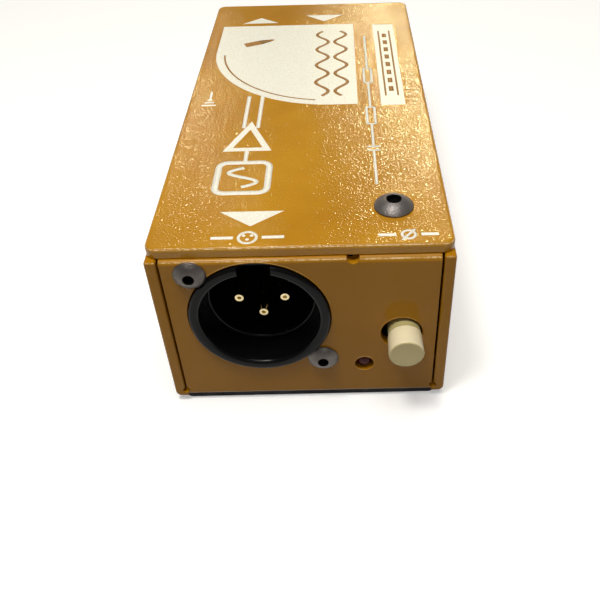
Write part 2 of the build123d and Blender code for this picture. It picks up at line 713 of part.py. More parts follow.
lift_pins_x = -lift_x + (lift_frame + lift_body_depth) / 2
with BuildPart() as lift_switch_terminals:
    with BuildSketch(Plane.XY.offset(lead_bottom)):
        with Locations((lift_pins_x, lift_behind_middle)):
            with GridLocations(lift_pin_rows, lift_pin_pitch, 2, 3):
                Rectangle(lead_size, lead_size)
    extrude(amount=board_top + seat_gap - lead_bottom)
lift_switch_terminals.part.label = "lift_switch_terminals"
export_step(lift_switch_terminals.part, "parts/lift_switch_terminals.step")

# ---------------------------------------------------------------- power LED
led_axis = Plane(origin=(led_x, -panel_outer + led_tip_depth, led_z), z_dir=(0, 1, 0))
led_back_y = -panel_outer + led_tip_depth + led_length
with BuildPart() as power_led:
    with BuildSketch(led_axis):
        Circle(led_radius)
    extrude(amount=led_length - led_flange_thickness)
    fillet(power_led.edges().group_by(Axis.Y)[0], led_radius * dome_share)
    with BuildSketch(led_axis.offset(led_length - led_flange_thickness)):
        Circle(led_flange_radius)
    extrude(amount=led_flange_thickness)
power_led.part.label = "power_led"
export_step(power_led.part, "parts/power_led.step")

led_lead_y = led_back_y + led_lead_reach
with BuildPart() as led_leads:
    for side in (-1, 1):
        with BuildSketch(Plane.YZ.offset(led_x + side * led_lead_pitch / 2 - lead_size / 2)):
            with Locations(((led_back_y + led_lead_y) / 2, led_z)):
                Rectangle(led_lead_y - led_back_y, lead_size)
            with Locations((led_lead_y - lead_size / 2, (led_z + lead_bottom) / 2)):
                Rectangle(lead_size, led_z - lead_bottom)
        extrude(amount=lead_size)
led_leads.part.label = "led_leads"
export_step(led_leads.part, "parts/led_leads.step")

# ---------------------------------------------------------------- rear jacks
jack_body_drop = (jack_body_above - jack_axis_height) / 2  # body's centre from the axis
chamber_front = jack_chamber_setback + sheet  # from the panel's outer face
spring_x = jack_chamber_half_width - seat_gap - jack_spring_thickness / 2
contact_x = jack_bore_radius + jack_spring_thickness / 2 + seat_gap
jack_pin_y = panel_inner - jack_chamber_setback - jack_spring_flat / 2
jack_pin_spots = [(x + side * spring_x, jack_pin_y) for x in jack_places.values() for side in (-1, 1)]


def jack_spring(x, side, length):
    """A contact strip from the chamber's wall to beside the plug, with its pin through the board."""
    start_y = panel_inner - jack_chamber_setback - seat_gap
    with BuildPart() as spring:
        with BuildSketch(Plane.XY.offset(jack_z - jack_spring_height / 2)):
            with BuildLine() as strip_line:
                FilletPolyline(
                    (x + side * spring_x, start_y),
                    (x + side * spring_x, start_y - jack_spring_flat),
                    (x + side * contact_x, start_y - length + jack_spring_bend),
                    (x + side * (contact_x + jack_spring_bend / 2), start_y - length),
                    radius=jack_spring_bend,
                )
            trace(line_width=jack_spring_thickness)
        extrude(amount=jack_spring_height)
        with BuildSketch(Plane.XY.offset(lead_bottom)):
            with Locations((x + side * spring_x, jack_pin_y)):
                Rectangle(jack_spring_thickness, jack_pin_width)
        extrude(amount=jack_z - lead_bottom)
    return spring.part


for jack, x in jack_places.items():
    jack_plane = Plane(origin=(x, panel_outer, jack_z), x_dir=(-1, 0, 0), z_dir=(0, 1, 0))

    with BuildPart() as jack_body:
        with BuildSketch(jack_plane.offset(-sheet)):
            with Locations((0, jack_body_drop)):
                Rectangle(jack_body_width, jack_axis_height + jack_body_above)
        extrude(amount=-jack_body_depth)
        with BuildSketch(jack_plane.offset(-sheet)):
            Circle(jack_bushing_radius + press_fit_gap)
        extrude(amount=-jack_bushing_seat, mode=Mode.SUBTRACT)
        with BuildSketch(jack_plane.offset(-sheet)):
            Circle(jack_bore_radius)
        extrude(amount=-jack_body_depth, mode=Mode.SUBTRACT)
        with BuildSketch(jack_plane.offset(-chamber_front)):
            Rectangle(2 * jack_chamber_half_width, 2 * jack_chamber_half_height)
        extrude(amount=-jack_chamber_length, mode=Mode.SUBTRACT)
        with BuildSketch(Plane.XY.offset(board_top)):
            with Locations((x - spring_x, jack_pin_y), (x + spring_x, jack_pin_y)):
                Rectangle(jack_spring_thickness + 2 * seat_gap, jack_pin_width + 2 * seat_gap)
        extrude(amount=jack_axis_height, mode=Mode.SUBTRACT)
    jack_body.part.label = f"{jack}_jack_body"
    export_step(jack_body.part, f"parts/{jack}_jack_body.step")

    with BuildPart() as jack_bushing:
        with BuildSketch(jack_plane.offset(jack_bushing_proud)):
            Circle(jack_bushing_radius)
            Circle(jack_bore_radius, mode=Mode.SUBTRACT)
        extrude(amount=-jack_bushing_proud - sheet - jack_bushing_seat)
        chamfer(jack_bushing.edges().group_by(Axis.Y)[-1], jack_bushing_bevel)
    jack_bushing.part.label = f"{jack}_jack_bushing"
    export_step(jack_bushing.part, f"parts/{jack}_jack_bushing.step")

    with BuildPart() as jack_washer:
        with BuildSketch(jack_plane):
            Circle(jack_washer_radius)
            Circle(jack_bushing_radius + jack_bushing_gap, mode=Mode.SUBTRACT)
        extrude(amount=jack_washer_thickness)
    jack_washer.part.label = f"{jack}_jack_washer"
    export_step(jack_washer.part, f"parts/{jack}_jack_washer.step")

    # hexagon whose corners are turned off
    with BuildPart() as jack_nut:
        with BuildSketch(jack_plane.offset(jack_washer_thickness)):
            Circle(jack_nut_flats / sqrt(3) - jack_nut_round / 4)
            RegularPolygon(jack_nut_flats / 2, 6, major_radius=False, mode=Mode.INTERSECT)
        extrude(amount=jack_nut_thickness)
        with BuildSketch(jack_plane.offset(jack_washer_thickness)):
            Circle(jack_bushing_radius + thread_gap)
        extrude(amount=jack_nut_thickness, mode=Mode.SUBTRACT)
    jack_nut.part.label = f"{jack}_jack_nut"
    export_step(jack_nut.part, f"parts/{jack}_jack_nut.step")

    tip_spring = jack_spring(x, 1, jack_spring_lengths["tip"])
    tip_spring.label = f"{jack}_jack_tip_spring"
    export_step(tip_spring, f"parts/{jack}_jack_tip_spring.step")

    switch_spring = jack_spring(x, -1, jack_spring_lengths["switch"])
    switch_spring.label = f"{jack}_jack_switch_spring"
    export_step(switch_spring, f"parts/{jack}_jack_switch_spring.step")

# ---------------------------------------------------------------- parts on the board
can_y = xlr_back_y + can_setback
can_spots = [(x, can_y) for x in (-can_spread, 0, can_spread)]
film_spots = [(-film_side, row * film_row_pitch) for row in (-1, 0, 1)] + [(film_side, -film_row_pitch)]
chip_spot = (chip_side, chip_behind_middle)
transistor_spots = [(transistor_side, y) for y in (-transistor_spread, transistor_spread)]
resistor_spots = [
    (side * resistor_side, jack_front_y - resistor_setback - row * resistor_row_pitch)
    for side in (-1, 1)
    for row in range(resistor_rows)
]
chip_pin_ys = [(i - (chip_pins_per_side - 1) / 2) * chip_pin_pitch for i in range(chip_pins_per_side)]

with BuildPart() as filter_capacitors:
    for x, y in can_spots:
        with BuildSketch(Plane(origin=(x, y, 0), x_dir=(1, 0, 0), z_dir=(0, -1, 0))) as can_side:
            with BuildLine():
                Polyline(
                    (0, board_top),
                    (can_radius, board_top),
                    (can_radius, board_top + can_groove_height - can_groove),
                    (can_radius - can_groove, board_top + can_groove_height),
                    (can_radius, board_top + can_groove_height + can_groove),
                    (can_radius, board_top + can_height),
                    (0, board_top + can_height),
                    close=True,
                )
            make_face()
            fillet(can_side.vertices().group_by(Axis.Y)[-1].sort_by(Axis.X)[-1], can_round)
        revolve(axis=Axis(origin=(x, y, 0), direction=(0, 0, 1)))
filter_capacitors.part.label = "filter_capacitors"
export_step(filter_capacitors.part, "parts/filter_capacitors.step")

with BuildPart() as film_capacitors:
    with BuildSketch(Plane.XY.offset(board_top)):
        with Locations(*film_spots):
            Rectangle(film_length, film_width)
    extrude(amount=film_height)
    fillet(film_capacitors.edges().group_by(Axis.Z)[-1], film_round)
film_capacitors.part.label = "film_capacitors"
export_step(film_capacitors.part, "parts/film_capacitors.step")

# moulded half-round bodies on three legs
with BuildPart() as transistors:
    with BuildSketch(Plane.XY.offset(board_top + transistor_standoff)):
        with Locations(*transistor_spots):
            Circle(transistor_radius)
        with Locations(*[(x + transistor_flat + transistor_radius, y) for x, y in transistor_spots]):
            Rectangle(2 * transistor_radius, 2 * transistor_radius, mode=Mode.SUBTRACT)
    extrude(amount=transistor_height)
transistors.part.label = "transistors"
export_step(transistors.part, "parts/transistors.step")

with BuildPart() as op_amp:
    with BuildSketch(Plane.XY.offset(board_top + chip_standoff)):
        with Locations(chip_spot):
            Rectangle(chip_width, chip_length)
    extrude(amount=chip_height)
op_amp.part.label = "op_amp"
export_step(op_amp.part, "parts/op_amp.step")

chip_pin_z = board_top + chip_standoff + chip_height / 2
with BuildPart() as op_amp_pins:
    for y in chip_pin_ys:
        with BuildSketch(Plane.XZ.offset(-chip_spot[1] - y - lead_size / 2)):
            for side in (-1, 1):
                edge_x = chip_spot[0] + side * chip_width / 2
                row_x = chip_spot[0] + side * (chip_pin_rows / 2 + lead_size / 2)
                with Locations(((edge_x + row_x) / 2, chip_pin_z)):
                    Rectangle(abs(row_x - edge_x), lead_size)
                with Locations((row_x - side * lead_size / 2, (chip_pin_z + lead_bottom) / 2)):
                    Rectangle(lead_size, chip_pin_z - lead_bottom)
        extrude(amount=lead_size)
op_amp_pins.part.label = "op_amp_pins"
export_step(op_amp_pins.part, "parts/op_amp_pins.step")

resistor_z = board_top + resistor_radius + seat_gap
with BuildPart() as resistors:
    for x, y in resistor_spots:
        with BuildSketch(Plane(origin=(x - resistor_length / 2, y, resistor_z), z_dir=(1, 0, 0))):
            Circle(resistor_radius)
        extrude(amount=resistor_length)
    fillet(resistors.edges().filter_by(GeomType.CIRCLE), resistor_round)
resistors.part.label = "resistors"
export_step(resistors.part, "parts/resistors.step")

with BuildPart() as resistor_leads:
    for x, y in resistor_spots:
        with BuildSketch(Plane.XZ.offset(-y - lead_size / 2)):
            for side in (-1, 1):
                body_x = x + side * resistor_length / 2
                end_x = x + side * (resistor_lead_pitch + lead_size) / 2
                with Locations(((body_x + end_x) / 2, resistor_z)):
                    Rectangle(abs(end_x - body_x), lead_size)
                with Locations((end_x - side * lead_size / 2, (resistor_z + lead_bottom) / 2)):
                    Rectangle(lead_size, resistor_z - lead_bottom)
        extrude(amount=lead_size)
resistor_leads.part.label = "resistor_leads"
export_step(resistor_leads.part, "parts/resistor_leads.step")

# straight leads under the capacitors and the transistors
upright_lead_spots = (
    [(x + side * lead_pitch / 2, y) for x, y in can_spots for side in (-1, 1)]
    + [(x + side * film_lead_pitch / 2, y) for x, y in film_spots for side in (-1, 1)]
)
transistor_lead_spots = [(x, y + leg * transistor_pitch) for x, y in transistor_spots for leg in (-1, 0, 1)]
with BuildPart() as component_leads:
    with BuildSketch(Plane.XY.offset(lead_bottom)):
        with Locations(*upright_lead_spots):
            Rectangle(lead_size, lead_size)
    extrude(amount=board_top - lead_bottom)
    with BuildSketch(Plane.XY.offset(lead_bottom)):
        with Locations(*transistor_lead_spots):
            Rectangle(lead_size, lead_size)
    extrude(amount=board_top + transistor_standoff - lead_bottom)
component_leads.part.label = "component_leads"
export_step(component_leads.part, "parts/component_leads.step")

# ---------------------------------------------------------------- circuit board and its standoffs
square_lead_hole = lead_size * sqrt(2) / 2 + lead_gap
chip_hole_spots = [
    (chip_spot[0] + side * chip_pin_rows / 2, chip_spot[1] + y) for side in (-1, 1) for y in chip_pin_ys
]
resistor_hole_spots = [
    (x + side * resistor_lead_pitch / 2, y) for x, y in resistor_spots for side in (-1, 1)
]
led_hole_spots = [(led_x + side * led_lead_pitch / 2, led_lead_y - lead_size / 2) for side in (-1, 1)]
xlr_tail_spots = [(xlr_x + spot[0], tail_y) for spot, tail_y in zip(xlr_pin_spots, xlr_tail_y)]
with BuildPart() as circuit_board:
    with BuildSketch(Plane.XY.offset(board_bottom)):
        Rectangle(2 * board_half_width, 2 * board_half_length)
        with Locations(*board_screw_spots):
            Circle(board_screw_radius + lead_gap, mode=Mode.SUBTRACT)
        with Locations(
            *upright_lead_spots,
            *transistor_lead_spots,
            *chip_hole_spots,
            *resistor_hole_spots,
            *led_hole_spots,
        ):
            Circle(square_lead_hole, mode=Mode.SUBTRACT)
        with Locations((lift_pins_x, lift_behind_middle)):
            with GridLocations(lift_pin_rows, lift_pin_pitch, 2, 3):
                Circle(square_lead_hole, mode=Mode.SUBTRACT)
        with Locations((phase_x, phase_body_y)):
            with GridLocations(phase_pin_rows, phase_pin_pitch, 2, phase_pin_count):
                Circle(phase_pin_size * sqrt(2) / 2 + lead_gap, mode=Mode.SUBTRACT)
        with Locations(*xlr_tail_spots):
            Circle(xlr_tail_radius + lead_gap, mode=Mode.SUBTRACT)
        with Locations(*[(xlr_x + s * xlr_peg_pitch / 2, xlr_back_y - xlr_foot_length / 2) for s in (-1, 1)]):
            Circle(xlr_peg_radius + lead_gap, mode=Mode.SUBTRACT)
        with Locations((lug_x, lug_y + xlr_lug_thickness / 2)):
            Rectangle(
                xlr_lug_tail_width + 2 * lead_gap, xlr_lug_thickness + 2 * lead_gap, mode=Mode.SUBTRACT
            )
        with Locations(*jack_pin_spots):
            Rectangle(
                jack_spring_thickness + 2 * lead_gap, jack_pin_width + 2 * lead_gap, mode=Mode.SUBTRACT
            )
    extrude(amount=board_thickness)
circuit_board.part.label = "circuit_board"
export_step(circuit_board.part, "parts/circuit_board.step")

with BuildPart() as board_standoffs:
    with BuildSketch(Plane.XY.offset(floor_top)):
        with Locations(*board_screw_spots):
            RegularPolygon(standoff_flats / 2, 6, major_radius=False)
    extrude(amount=standoff_height)
    with BuildSketch(Plane.XY.offset(tray_bottom)):
        with Locations(*board_screw_spots):
            Circle(standoff_shank_radius)
    extrude(amount=sheet)
    with BuildSketch(Plane.XY.offset(tray_bottom)):
        with Locations(*board_screw_spots):
            Circle(board_screw_radius + thread_gap)
    extrude(amount=sheet + standoff_height, mode=Mode.SUBTRACT)
board_standoffs.part.label = "board_standoffs"
export_step(board_standoffs.part, "parts/board_standoffs.step")

with BuildPart() as board_screws:
    with BuildSketch(Plane.XY.offset(board_top)):
        with Locations(*board_screw_spots):
            Circle(board_screw_head_radius)
    extrude(amount=board_screw_head_height)
    fillet(board_screws.edges().group_by(Axis.Z)[-1], board_screw_head_height * dome_share)
    with BuildSketch(Plane.XY.offset(board_top)):
        with Locations(*board_screw_spots):
            Circle(board_screw_radius)
    extrude(amount=-board_screw_length)
    with BuildSketch(Plane.XY.offset(board_top + board_screw_head_height)):
        with Locations(*board_screw_spots):
            Rectangle(board_screw_slot_length, board_screw_slot_width)
            Rectangle(board_screw_slot_width, board_screw_slot_length)
    extrude(amount=-board_screw_slot_depth, mode=Mode.SUBTRACT)
board_screws.part.label = "board_screws"
export_step(board_screws.part, "parts/board_screws.step")
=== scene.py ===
import json
from math import cos, pi, radians, sin, sqrt

import bmesh
import bpy
from mathutils import Matrix, Vector


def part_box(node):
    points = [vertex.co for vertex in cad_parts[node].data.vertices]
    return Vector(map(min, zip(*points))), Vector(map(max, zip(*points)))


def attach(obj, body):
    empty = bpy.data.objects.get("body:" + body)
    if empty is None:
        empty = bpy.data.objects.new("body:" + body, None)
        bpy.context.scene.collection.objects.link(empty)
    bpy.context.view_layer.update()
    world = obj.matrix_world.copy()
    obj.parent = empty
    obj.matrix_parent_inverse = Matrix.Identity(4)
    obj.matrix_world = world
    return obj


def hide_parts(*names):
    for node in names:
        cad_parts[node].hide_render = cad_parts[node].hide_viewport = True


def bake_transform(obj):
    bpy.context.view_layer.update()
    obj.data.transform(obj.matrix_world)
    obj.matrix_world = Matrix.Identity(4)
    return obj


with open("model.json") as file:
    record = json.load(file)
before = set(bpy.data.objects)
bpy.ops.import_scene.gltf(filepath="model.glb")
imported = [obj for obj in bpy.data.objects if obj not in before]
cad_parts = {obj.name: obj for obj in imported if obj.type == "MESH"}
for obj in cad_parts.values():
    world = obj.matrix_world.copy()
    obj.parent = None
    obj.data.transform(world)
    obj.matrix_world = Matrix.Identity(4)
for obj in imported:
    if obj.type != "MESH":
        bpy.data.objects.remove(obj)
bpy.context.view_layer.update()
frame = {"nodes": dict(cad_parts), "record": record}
nodes = frame["nodes"]
mm = 0.001


def shade(code, alpha=1.0):  # hex code as seen on a screen, to a linear colour
    values = [int(code[i : i + 2], 16) / 255 for i in (0, 2, 4)]
    return [v / 12.92 if v <= 0.04045 else ((v + 0.055) / 1.055) ** 2.4 for v in values] + [alpha]


def fromMm(*point):
    return Vector(point) * mm


# camera
cameraSetup = {
    "place": (7.09, -140.01, 106.43),  # mm
    "pitchDown": 40.297,  # degrees
    "yaw": 0.294,
    "roll": -1.495,
    "lens": 43.31,
    "shift": (-0.0702, -0.0567),
}
cameraData = bpy.data.cameras.new("benchCamera")
cameraData.sensor_width = 36
cameraData.lens = cameraSetup["lens"]
cameraData.shift_x, cameraData.shift_y = cameraSetup["shift"]
cameraData.clip_start, cameraData.clip_end = 0.01, 20
benchCamera = bpy.data.objects.new("benchCamera", cameraData)
bpy.context.scene.collection.objects.link(benchCamera)
turn = (
    Matrix.Rotation(radians(cameraSetup["yaw"]), 4, "Z")
    @ Matrix.Rotation(radians(90 - cameraSetup["pitchDown"]), 4, "X")
    @ Matrix.Rotation(radians(cameraSetup["roll"]), 4, "Z")
)
benchCamera.matrix_world = Matrix.Translation(fromMm(*cameraSetup["place"])) @ turn
bpy.context.scene.camera = benchCamera
bpy.context.scene.view_settings.view_transform = "Standard"
print("camera placed")


# node helpers
def newMaterial(name):
    material = bpy.data.materials.new(name)
    material.use_nodes = True
    tree = material.node_tree
    return material, tree, tree.nodes["Principled BSDF"]


def addNode(tree, kind, inputs=None, **settings):
    node = tree.nodes.new("ShaderNode" + kind)
    for key, value in settings.items():
        setattr(node, key, value)
    for key, value in (inputs or {}).items():
        if isinstance(value, bpy.types.NodeSocket):
            tree.links.new(value, node.inputs[key])
        else:
            node.inputs[key].default_value = value
    return node


def objectCoordinates(tree):
    return addNode(tree, "TexCoord").outputs["Object"]


def noiseOf(tree, place, size, detail=2.0):  # size in mm
    values = {"Vector": place, "Scale": 1 / (size * mm), "Detail": detail, "Roughness": 0.5}
    return addNode(tree, "TexNoise", values).outputs["Fac"]


def rangeOf(tree, value, low, high, toLow, toHigh):
    values = {"Value": value, "From Min": low, "From Max": high, "To Min": toLow, "To Max": toHigh}
    return addNode(tree, "MapRange", values).outputs["Result"]


def mixOf(tree, factor, first, second):  # of two colours
    return addNode(tree, "Mix", {0: factor, 6: first, 7: second}, data_type="RGBA", blend_type="MIX").outputs[2]


def bumpOf(tree, height, depth):  # depth in mm
    values = {"Height": height, "Distance": depth * mm, "Strength": 1.0}
    return addNode(tree, "Bump", values).outputs["Normal"]


def mathOf(tree, first, second, operation="ADD"):
    return addNode(tree, "Math", {0: first, 1: second}, operation=operation).outputs[0]


midNoise = (0.35, 0.65)  # where most of a noise's values lie
broadNoise = (0.3, 0.7)

# powder coat: leathery on the lid, smoother and glossier on the folded tray; the tray's colours are the same coat
# painted darker, as shade
powderCoat = {
    "lid": {
        "pebble": 0.34,
        "ripple": 0.7,
        "depth": 0.07,
        "light": "BE881E",
        "deep": "B17A17",
        # edge: the pale colour painted as a highlight along the rounded edges, and the share of it that shows
        "edge": "FAE9BE",
        "highlightShare": 0.75,
        "sideFrom": -1,
        "roughness": 0.085,
        "gloss": 0.25,
    },
    # tray: the lid's coat with its colours made darker, as painted shade
    "tray": {
        "pebble": 1.0,
        "ripple": 1.5,
        "depth": 0.012,
        "light": "AF7810",
        "deep": "A9730C",
        # edge: the pale colour painted as a highlight along the tray's rounded edges, and the share of it that
        # shows
        "edge": "F8E4B4",
        "highlightShare": 0.65,
        "sideFrom": 0.2,
        "roughness": 0.12,
        "gloss": 0.15,
    },
}
coatRelief = {"pebble": -0.7, "ripple": 0.35, "smooth": 0.75}
coatWear = {"cloud": 14, "patch": 0.5, "smoother": 0.8, "rougher": 1.25}  # sizes in mm
# painted highlight along the rounded edges: where it lies on the normal and how it breaks into dots
paintedEdgeHighlight = {
    "rise": (0.5, 0.6),  # upward part of the normal where the painted highlight begins
    "fall": (0.68, 0.78),  # and where it ends
    "sideStep": 0.2,
    "length": 0.55,  # mm
    "gaps": (0.42, 0.58),
    "least": 0.15,
}


def coatHeight(tree, place, setup):  # pebbles on a slow ripple
    pebble = addNode(
        tree,
        "TexVoronoi",
        {
            "Vector": place,
            "Scale": 1 / (setup["pebble"] * mm),
            "Smoothness": coatRelief["smooth"],
            "Randomness": 1.0,
        },
        feature="SMOOTH_F1",
    ).outputs["Distance"]
    ripple = noiseOf(tree, place, setup["ripple"], 2)
    pebbles = mathOf(tree, pebble, coatRelief["pebble"], "MULTIPLY")
    return mathOf(tree, pebbles, mathOf(tree, ripple, coatRelief["ripple"], "MULTIPLY")), pebble


def makePowderCoat(name, setup):
    material, tree, surface = newMaterial(name)
    place = objectCoordinates(tree)
    cloud = noiseOf(tree, place, coatWear["cloud"], 3)
    colour = mixOf(tree, rangeOf(tree, cloud, *midNoise, 0, 1), shade(setup["light"]), shade(setup["deep"]))
    # painted highlight: a pale colour in broken dots along the rounded edges, where the normal tilts partly upward
    # and the edges would catch the lamps
    outward = addNode(tree, "SeparateXYZ", {"Vector": addNode(tree, "NewGeometry").outputs["Normal"]}).outputs
    rise = rangeOf(tree, outward["Z"], *paintedEdgeHighlight["rise"], 0, 1)
    fall = rangeOf(tree, outward["Z"], *paintedEdgeHighlight["fall"], 1, 0)
    endwise = mathOf(tree, outward["Y"], outward["Y"], "MULTIPLY")
    faces = rangeOf(tree, endwise, setup["sideFrom"], setup["sideFrom"] + paintedEdgeHighlight["sideStep"], 0, 1)
    broken = noiseOf(tree, place, paintedEdgeHighlight["length"], 2)
    beads = rangeOf(tree, broken, *paintedEdgeHighlight["gaps"], paintedEdgeHighlight["least"], setup["highlightShare"])
    band = mathOf(tree, rise, fall, "MULTIPLY")
    paintedHighlight = mathOf(tree, band, mathOf(tree, faces, beads, "MULTIPLY"), "MULTIPLY")
    tree.links.new(mixOf(tree, paintedHighlight, colour, shade(setup["edge"])), surface.inputs["Base Color"])
    height = coatHeight(tree, place, setup)[0]
    tree.links.new(bumpOf(tree, height, setup["depth"]), surface.inputs["Normal"])
    least, most = (setup["roughness"] * coatWear[key] for key in ("smoother", "rougher"))
    rough = rangeOf(tree, noiseOf(tree, place, coatWear["patch"], 2), *broadNoise, least, most)
    tree.links.new(rough, surface.inputs["Roughness"])
    surface.inputs["Specular IOR Level"].default_value = setup["gloss"]
    return material


inkLook = {
    "speckle": 0.35,  # mm
    "speckleRange": (0.3, 0.62),
    "relief": 0.8,  # of the coat's depth
    "pebbleRange": (0.2, 0.8),
    "roughness": (0.26, 0.42),
    "gloss": 0.35,
}


def makeInk(name, light, deep):  # ink lies over the lid's pebbles
    material, tree, surface = newMaterial(name)
    place = objectCoordinates(tree)
    height, pebble = coatHeight(tree, place, powderCoat["lid"])
    speckle = rangeOf(tree, noiseOf(tree, place, inkLook["speckle"], 2), *inkLook["speckleRange"], 1, 0)
    colour = mixOf(tree, speckle, shade(light), shade(deep))
    rough = rangeOf(tree, pebble, *inkLook["pebbleRange"], *inkLook["roughness"])
    tree.links.new(colour, surface.inputs["Base Color"])
    tree.links.new(bumpOf(tree, height, powderCoat["lid"]["depth"] * inkLook["relief"]), surface.inputs["Normal"])
    tree.links.new(rough, surface.inputs["Roughness"])
    surface.inputs["Specular IOR Level"].default_value = inkLook["gloss"]
    return material


def makePlain(name, setup):
    material, tree, surface = newMaterial(name)
    place = objectCoordinates(tree)
    cloud = noiseOf(tree, place, setup.get("grain", 3), 3)
    deep = [c * setup.get("deep", 0.8) for c in shade(setup["colour"])[:3]] + [1]
    colour = mixOf(tree, rangeOf(tree, cloud, *midNoise, 0, 1), shade(setup["colour"]), deep)
    tree.links.new(colour, surface.inputs["Base Color"])
    fine = noiseOf(tree, place, setup.get("bumpSize", 0.3), 2)
    tree.links.new(bumpOf(tree, fine, setup.get("bump", 0.003)), surface.inputs["Normal"])
    rough = setup["roughness"]
    roughness = rangeOf(tree, cloud, *broadNoise, rough * 0.85, rough * 1.15)
    tree.links.new(roughness, surface.inputs["Roughness"])
    surface.inputs["Metallic"].default_value = setup.get("metallic", 0.0)
    surface.inputs["Specular IOR Level"].default_value = setup.get("gloss", 0.5)
    return material


wornSteel = {"metallic": 0.6, "roughness": 0.36, "bump": 0.06, "bumpSize": 0.25}
finishes = {
    "padRubber": {"colour": "1B1A1A", "roughness": 0.85, "bump": 0.03, "bumpSize": 0.5},
    "blackSteel": {"colour": "3A3837", "metallic": 0.8, "roughness": 0.4, "bump": 0.004},
    "darkSteel": {**wornSteel, "colour": "635D59", "deep": 0.7},
    "gunSteel": {**wornSteel, "colour": "7C7673", "deep": 0.8},
    # flat matt black painted into the screw sockets as shade
    "socketPaintedShade": {"colour": "100F0F", "roughness": 1.0, "gloss": 0.0},
    "zincSteel": {"colour": "B9B9B4", "metallic": 1.0, "roughness": 0.32},
    "tinPlate": {"colour": "C9C8C2", "metallic": 1.0, "roughness": 0.28},
    "solder": {"colour": "B4B4B2", "metallic": 1.0, "roughness": 0.22, "bump": 0.01, "bumpSize": 0.4},
    "springSteel": {"colour": "9C9B98", "metallic": 1.0, "roughness": 0.25},
    "nickel": {"colour": "CFCCC4", "metallic": 1.0, "roughness": 0.16, "deep": 0.93},
    "goldPlate": {"colour": "DFCD9F", "metallic": 1.0, "roughness": 0.16, "deep": 0.85},
    "connectorBlack": {"colour": "0C0C0D", "roughness": 0.2, "gloss": 0.12, "bump": 0.004, "bumpSize": 0.25},
    "jackBlack": {"colour": "202020", "roughness": 0.5},
    "switchBlue": {"colour": "2B3547", "roughness": 0.45},
    "switchWhite": {"colour": "DAD7CC", "roughness": 0.4},
    "buttonIvory": {"colour": "F0E4BE", "roughness": 0.33, "deep": 0.95, "grain": 6},
    "collarIvory": {"colour": "C2B67C", "roughness": 0.35, "deep": 0.95, "grain": 6},
    # the cap's ivory made darker for its front face, as painted shade
    "shadedFaceIvory": {"colour": "DDCC96", "roughness": 0.4, "gloss": 0.3, "deep": 0.95, "grain": 6},
    "canSleeve": {"colour": "1A2440", "roughness": 0.3},
    "filmRed": {"colour": "A8432B", "roughness": 0.28},
    "chipBlack": {"colour": "262628", "roughness": 0.6},
    "resistorBlue": {"colour": "7FB2CC", "roughness": 0.35},
    "lensRed": {"colour": "571018", "roughness": 0.1, "gloss": 0.15},
}
materials = {name: makePlain(name, setup) for name, setup in finishes.items()}
materials["lidCoat"] = makePowderCoat("lidCoat", powderCoat["lid"])
materials["shadedTrayCoat"] = makePowderCoat("shadedTrayCoat", powderCoat["tray"])
materials["whiteInk"] = makeInk("whiteInk", "F3F1E6", "E6E1D0")
materials["brownInk"] = makeInk("brownInk", "A9742A", "8F5E1C")


# board: solder resist with pale tracks below it
boardLook = {
    "resist": "17603A",
    "track": "2A8350",
    "spacing": 5.5,  # mm
    "edges": (0.045, 0.06),
    "raised": 0.03,
    "patch": 1.2,
    "roughness": (0.24, 0.36),
}


def makeBoard(name):
    material, tree, surface = newMaterial(name)
    place = objectCoordinates(tree)
    tracks = addNode(
        tree,
        "TexVoronoi",
        {"Vector": place, "Scale": 1 / (boardLook["spacing"] * mm), "Randomness": 0.9},
        feature="DISTANCE_TO_EDGE",
    ).outputs["Distance"]
    track = rangeOf(tree, tracks, *boardLook["edges"], 1, 0)
    colour = mixOf(tree, track, shade(boardLook["resist"]), shade(boardLook["track"]))
    rough = rangeOf(tree, noiseOf(tree, place, boardLook["patch"]), *broadNoise, *boardLook["roughness"])
    tree.links.new(colour, surface.inputs["Base Color"])
    tree.links.new(bumpOf(tree, track, boardLook["raised"]), surface.inputs["Normal"])
    tree.links.new(rough, surface.inputs["Roughness"])
    return material


materials["boardGreen"] = makeBoard("boardGreen")
print("materials made")


# mesh helpers: every finished piece sits at the origin with its place in its mesh
def addObject(name, mesh, material=None):
    if material:
        mesh.materials.clear()
        mesh.materials.append(materials[material])
    piece = bpy.data.objects.new(name, mesh)
    bpy.context.scene.collection.objects.link(piece)
    return piece


def smoothOver(mesh, sharpFrom=35):  # corners sharper than this stay sharp
    mesh.shade_smooth()
    mesh.set_sharp_from_angle(angle=radians(sharpFrom))


def meshFrom(name, shape, smooth=True, weld=1e-7):
    bmesh.ops.remove_doubles(shape, verts=shape.verts, dist=weld)
    bmesh.ops.recalc_face_normals(shape, faces=shape.faces)
    mesh = bpy.data.meshes.new(name)
    shape.to_mesh(mesh)
    shape.free()
    if smooth:
        smoothOver(mesh)
    return mesh


def turnedMesh(name, profile, hexFrom=None, steps=96):  # profile: radius and height in mm, from the bottom up
    shape = bmesh.new()
    rings = []
    for index, (radius, height) in enumerate(profile):
        if radius == 0:
            rings.append([shape.verts.new((0, 0, height * mm))])
            continue
        ring = []
        for step in range(steps):
            angle = 2 * pi * step / steps
            reach = radius
            if hexFrom is not None and index >= hexFrom:  # radius is then half the flats
                reach = radius / cos((angle % (pi / 3)) - pi / 6)
            ring.append(shape.verts.new(fromMm(reach * cos(angle), reach * sin(angle), height)))
        rings.append(ring)
    for lower, upper in zip(rings, rings[1:]):
        for step in range(steps):
            following = (step + 1) % steps
            if len(lower) == 1:
                shape.faces.new((lower[0], upper[following], upper[step]))
            elif len(upper) == 1:
                shape.faces.new((lower[step], lower[following], upper[0]))
            else:
                shape.faces.new((lower[step], lower[following], upper[following], upper[step]))
    return meshFrom(name, shape)


def roundOf(centreRadius, centreHeight, radius, startAngle, endAngle, steps):
    angles = [radians(startAngle + (endAngle - startAngle) * i / steps) for i in range(steps + 1)]
    return [(centreRadius + radius * cos(a), centreHeight + radius * sin(a)) for a in angles]


